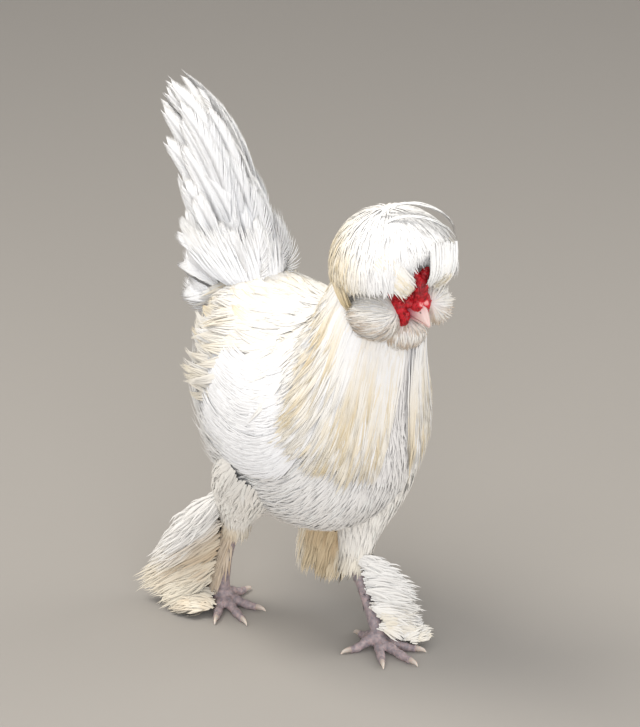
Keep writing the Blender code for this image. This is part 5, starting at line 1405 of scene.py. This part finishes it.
def makeBeak():
    material = hornMaterial("beakHornPolished", "#B4606E", "#EBCDC4", 0.32)
    for name, upper, node in (("beakUpper", True, "beak_upper"), ("beakLower", False, "beak_lower")):
        points, faces = beakHalf(upper)
        share = 0.88 * smoothStep(-0.030, -0.047, points[:, 1])
        if upper:  # the last of the ramp is painted shade in the nostril
            y, z = points[:, 1], points[:, 2]
            slit = np.exp(-(((y + 0.0410) / 0.0024) ** 2) - ((z + 0.0012) / 0.0013) ** 2) * (z > -0.006)
            share = np.maximum(share, smoothStep(0.35, 0.6, slit))
        obj = meshFrom(name, onHead(points), faces)
        putValue(obj, share, "along")
        obj.data.materials.append(material)
        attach(obj, "root")
        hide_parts(node)
        print(name, len(faces), "triangles")


def eyeMaterial():
    material, tree, shader = materialNamed("birdsEyeGlossy")
    ring = addNode(tree, "ShaderNodeAttribute", attribute_name="fromPupil")
    where = addNode(tree, "ShaderNodeTexCoord")
    fleck = noiseNode(tree, where, 1800.0, 3.0)  # 0.55 mm flecks
    stops = ((0.0, "#050404"), (0.30, "#050404"), (0.34, "#7A3314"), (0.56, "#A04A1C"), (0.64, "#3A1408"),
             (1.0, "#B9A79A"))
    ramp = rampNode(tree, ring, stops)
    warm = addNode(tree, "ShaderNodeMix", data_type="RGBA", blend_type="MULTIPLY")
    warm.inputs[0].default_value = 0.5
    tree.links.new(ramp.outputs["Color"], warm.inputs[6])
    tree.links.new(fleck.outputs["Color"], warm.inputs[7])
    tree.links.new(warm.outputs[2], shader.inputs["Base Color"])
    shader.inputs["Roughness"].default_value = 0.05
    shader.inputs["Coat Weight"].default_value = 1.0
    shader.inputs["Coat Roughness"].default_value = 0.02
    return material


def makeEyes():
    h, material = headShape, eyeMaterial()
    for side, name in ((1, "left"), (-1, "right")):
        eye = np.array(h["eye"]) * (side, 1, 1)
        look = unit(np.array([side * 0.94, -0.34, 0.05]))
        points, faces = ballSurface((0, 0, 0), (h["eyeRadius"],) * 3, 64, 48)
        toward = points @ look / h["eyeRadius"]
        cornea = 0.00035 * smoothStep(0.75, 1.0, toward)
        away = np.arccos(np.clip(toward, -1, 1)) / math.radians(60)
        obj = meshFrom("eye" + name.title(), onHead(points + unit(points) * cornea[:, None] + eye), faces)
        putValue(obj, np.clip(away, 0, 1), "fromPupil")
        obj.data.materials.append(material)
        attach(obj, "root")
        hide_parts("eye_" + name)
    print("eyes ready")


def makeClaws():
    surfaces, share = [], []
    for leg in legs.values():
        for path, out in toePaths(leg).values():
            tip = path[-1] - out * 0.0010
            spine = tip + np.outer((0, 0.0040, 0.0080, 0.0112), out)
            spine = spine + np.outer((0.0004, 0.0004, -0.0002, -0.0024), (0, 0, 1))
            fine = along(spine, 18)
            surfaces.append(tubeSurface(fine, along((0.0026, 0.0022, 0.0015, 0.0004), 18),
                                        along((0.0031, 0.0027, 0.0018, 0.0004), 18), around=16))
            share.append(np.append(np.repeat(np.linspace(0, 1, 18), 16), (0.0, 1.0)))
    points, faces = joined(surfaces)
    obj = meshFrom("claws", points, faces)
    putValue(obj, np.concatenate(share) * 0.88, "along")
    obj.data.materials.append(hornMaterial("clawHornMatt", "#B8A79C", "#E6DACB", 0.38))
    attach(obj, "root")
    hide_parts(*[f"claw_{side}_{toe}" for side in legs for toe in toeLength])
    print("claws", len(faces), "triangles")


makeSkin()
makeBeak()
makeEyes()
makeClaws()
makeBodyCoat()
makeHackle()
makeSaddle()
makeWings()
makeTail()
makeCrest()
makeMuffs()
makeLegCoats()


# floor, light and camera: one pale floor that curves up behind, soft light from above
# and a little behind on the left

studio = {
    "camera": (-40.0, 24.0, 3.6), "lens": 185.4, "centre": (0.0212, 0.2546, 0.113),
    "key": ((-0.65, 0.55, 2.1), 1.1, 25.0, "#FFFAF2"),
    "fill": ((-1.5, -2.1, 1.0), 1.8, 30.0, "#F8F8FC"),
    "rim": ((1.7, -1.1, 1.1), 1.4, 12.0, "#FFFCF6"),
    "world": ("#ECEDF0", 0.85), "floor": "#A6A19A",
}


# a matrix whose z axis points from target to place, x level
def lookFrom(place, target):
    place, target = np.array(place, float), np.array(target, float)
    back = unit(place - target)
    side = unit(np.cross([0.0, 0.0, 1.0], back))
    turn = np.eye(4)
    turn[:3, 0], turn[:3, 1], turn[:3, 2], turn[:3, 3] = side, np.cross(back, side), back, place
    return Matrix(turn.tolist())


def makeLight(name, place, size, power, colour):
    data = bpy.data.lights.new(name, "AREA")
    data.shape, data.size, data.energy = "DISK", size, power
    data.color = [float(c) for c in hexColour(colour)]
    obj = bpy.data.objects.new(name, data)
    bpy.context.scene.collection.objects.link(obj)
    obj.matrix_world = lookFrom(place, (0, 0, 0.26))


# the floor's profile: flat, then a quarter circle up to a wall
def makeFloor():
    s = np.linspace(0, math.pi / 2, 24)
    y = np.concatenate([[-6.0], 2.2 + 1.2 * np.sin(s), [3.4]])
    z = np.concatenate([[0.0], 1.2 - 1.2 * np.cos(s), [5.0]])
    turn = math.radians(studio["camera"][0])  # the wall stands square to the line of sight
    across, away = np.array([math.cos(turn), math.sin(turn), 0]), np.array([-math.sin(turn), math.cos(turn), 0])
    lines = np.outer(y, away) + np.outer(z, (0, 0, 1))
    points = np.concatenate([lines - across * 6, lines + across * 6])
    i, n = np.arange(len(lines) - 1), len(lines)
    faces = np.concatenate([np.stack([i, n + i, n + i + 1], -1), np.stack([i, n + i + 1, i + 1], -1)])
    obj = meshFrom("floor", points, faces)
    material, _, shader = materialNamed("paperBackdropMatt")
    shader.inputs["Base Color"].default_value = rgba(hexColour(studio["floor"]))
    shader.inputs["Roughness"].default_value = 0.9
    obj.data.materials.append(material)


def makeCamera():
    azimuth, elevation, distance = studio["camera"]
    a, e = math.radians(azimuth), math.radians(elevation)
    right = np.array([math.cos(a), math.sin(a), 0])
    toward = np.array([math.sin(a) * math.cos(e), -math.cos(a) * math.cos(e), math.sin(e)])
    target = np.stack([right, np.cross(toward, right), toward]).T @ np.array(studio["centre"]) + bodyShift
    data = bpy.data.cameras.new("camera")
    data.lens, data.sensor_width, data.clip_start = studio["lens"], 36, 0.05
    obj = bpy.data.objects.new("camera", data)
    bpy.context.scene.collection.objects.link(obj)
    obj.matrix_world = lookFrom(target + toward * distance, target)
    bpy.context.scene.camera = obj


makeFloor()
for lightName in ("key", "fill", "rim"):
    makeLight(lightName, *studio[lightName])
makeCamera()
world = bpy.data.worlds.new("world")
world.use_nodes = True
world.node_tree.nodes["Background"].inputs["Color"].default_value = rgba(hexColour(studio["world"][0]))
world.node_tree.nodes["Background"].inputs["Strength"].default_value = studio["world"][1]
bpy.context.scene.world = world
bpy.context.scene.view_settings.view_transform = "Standard"

print("done")
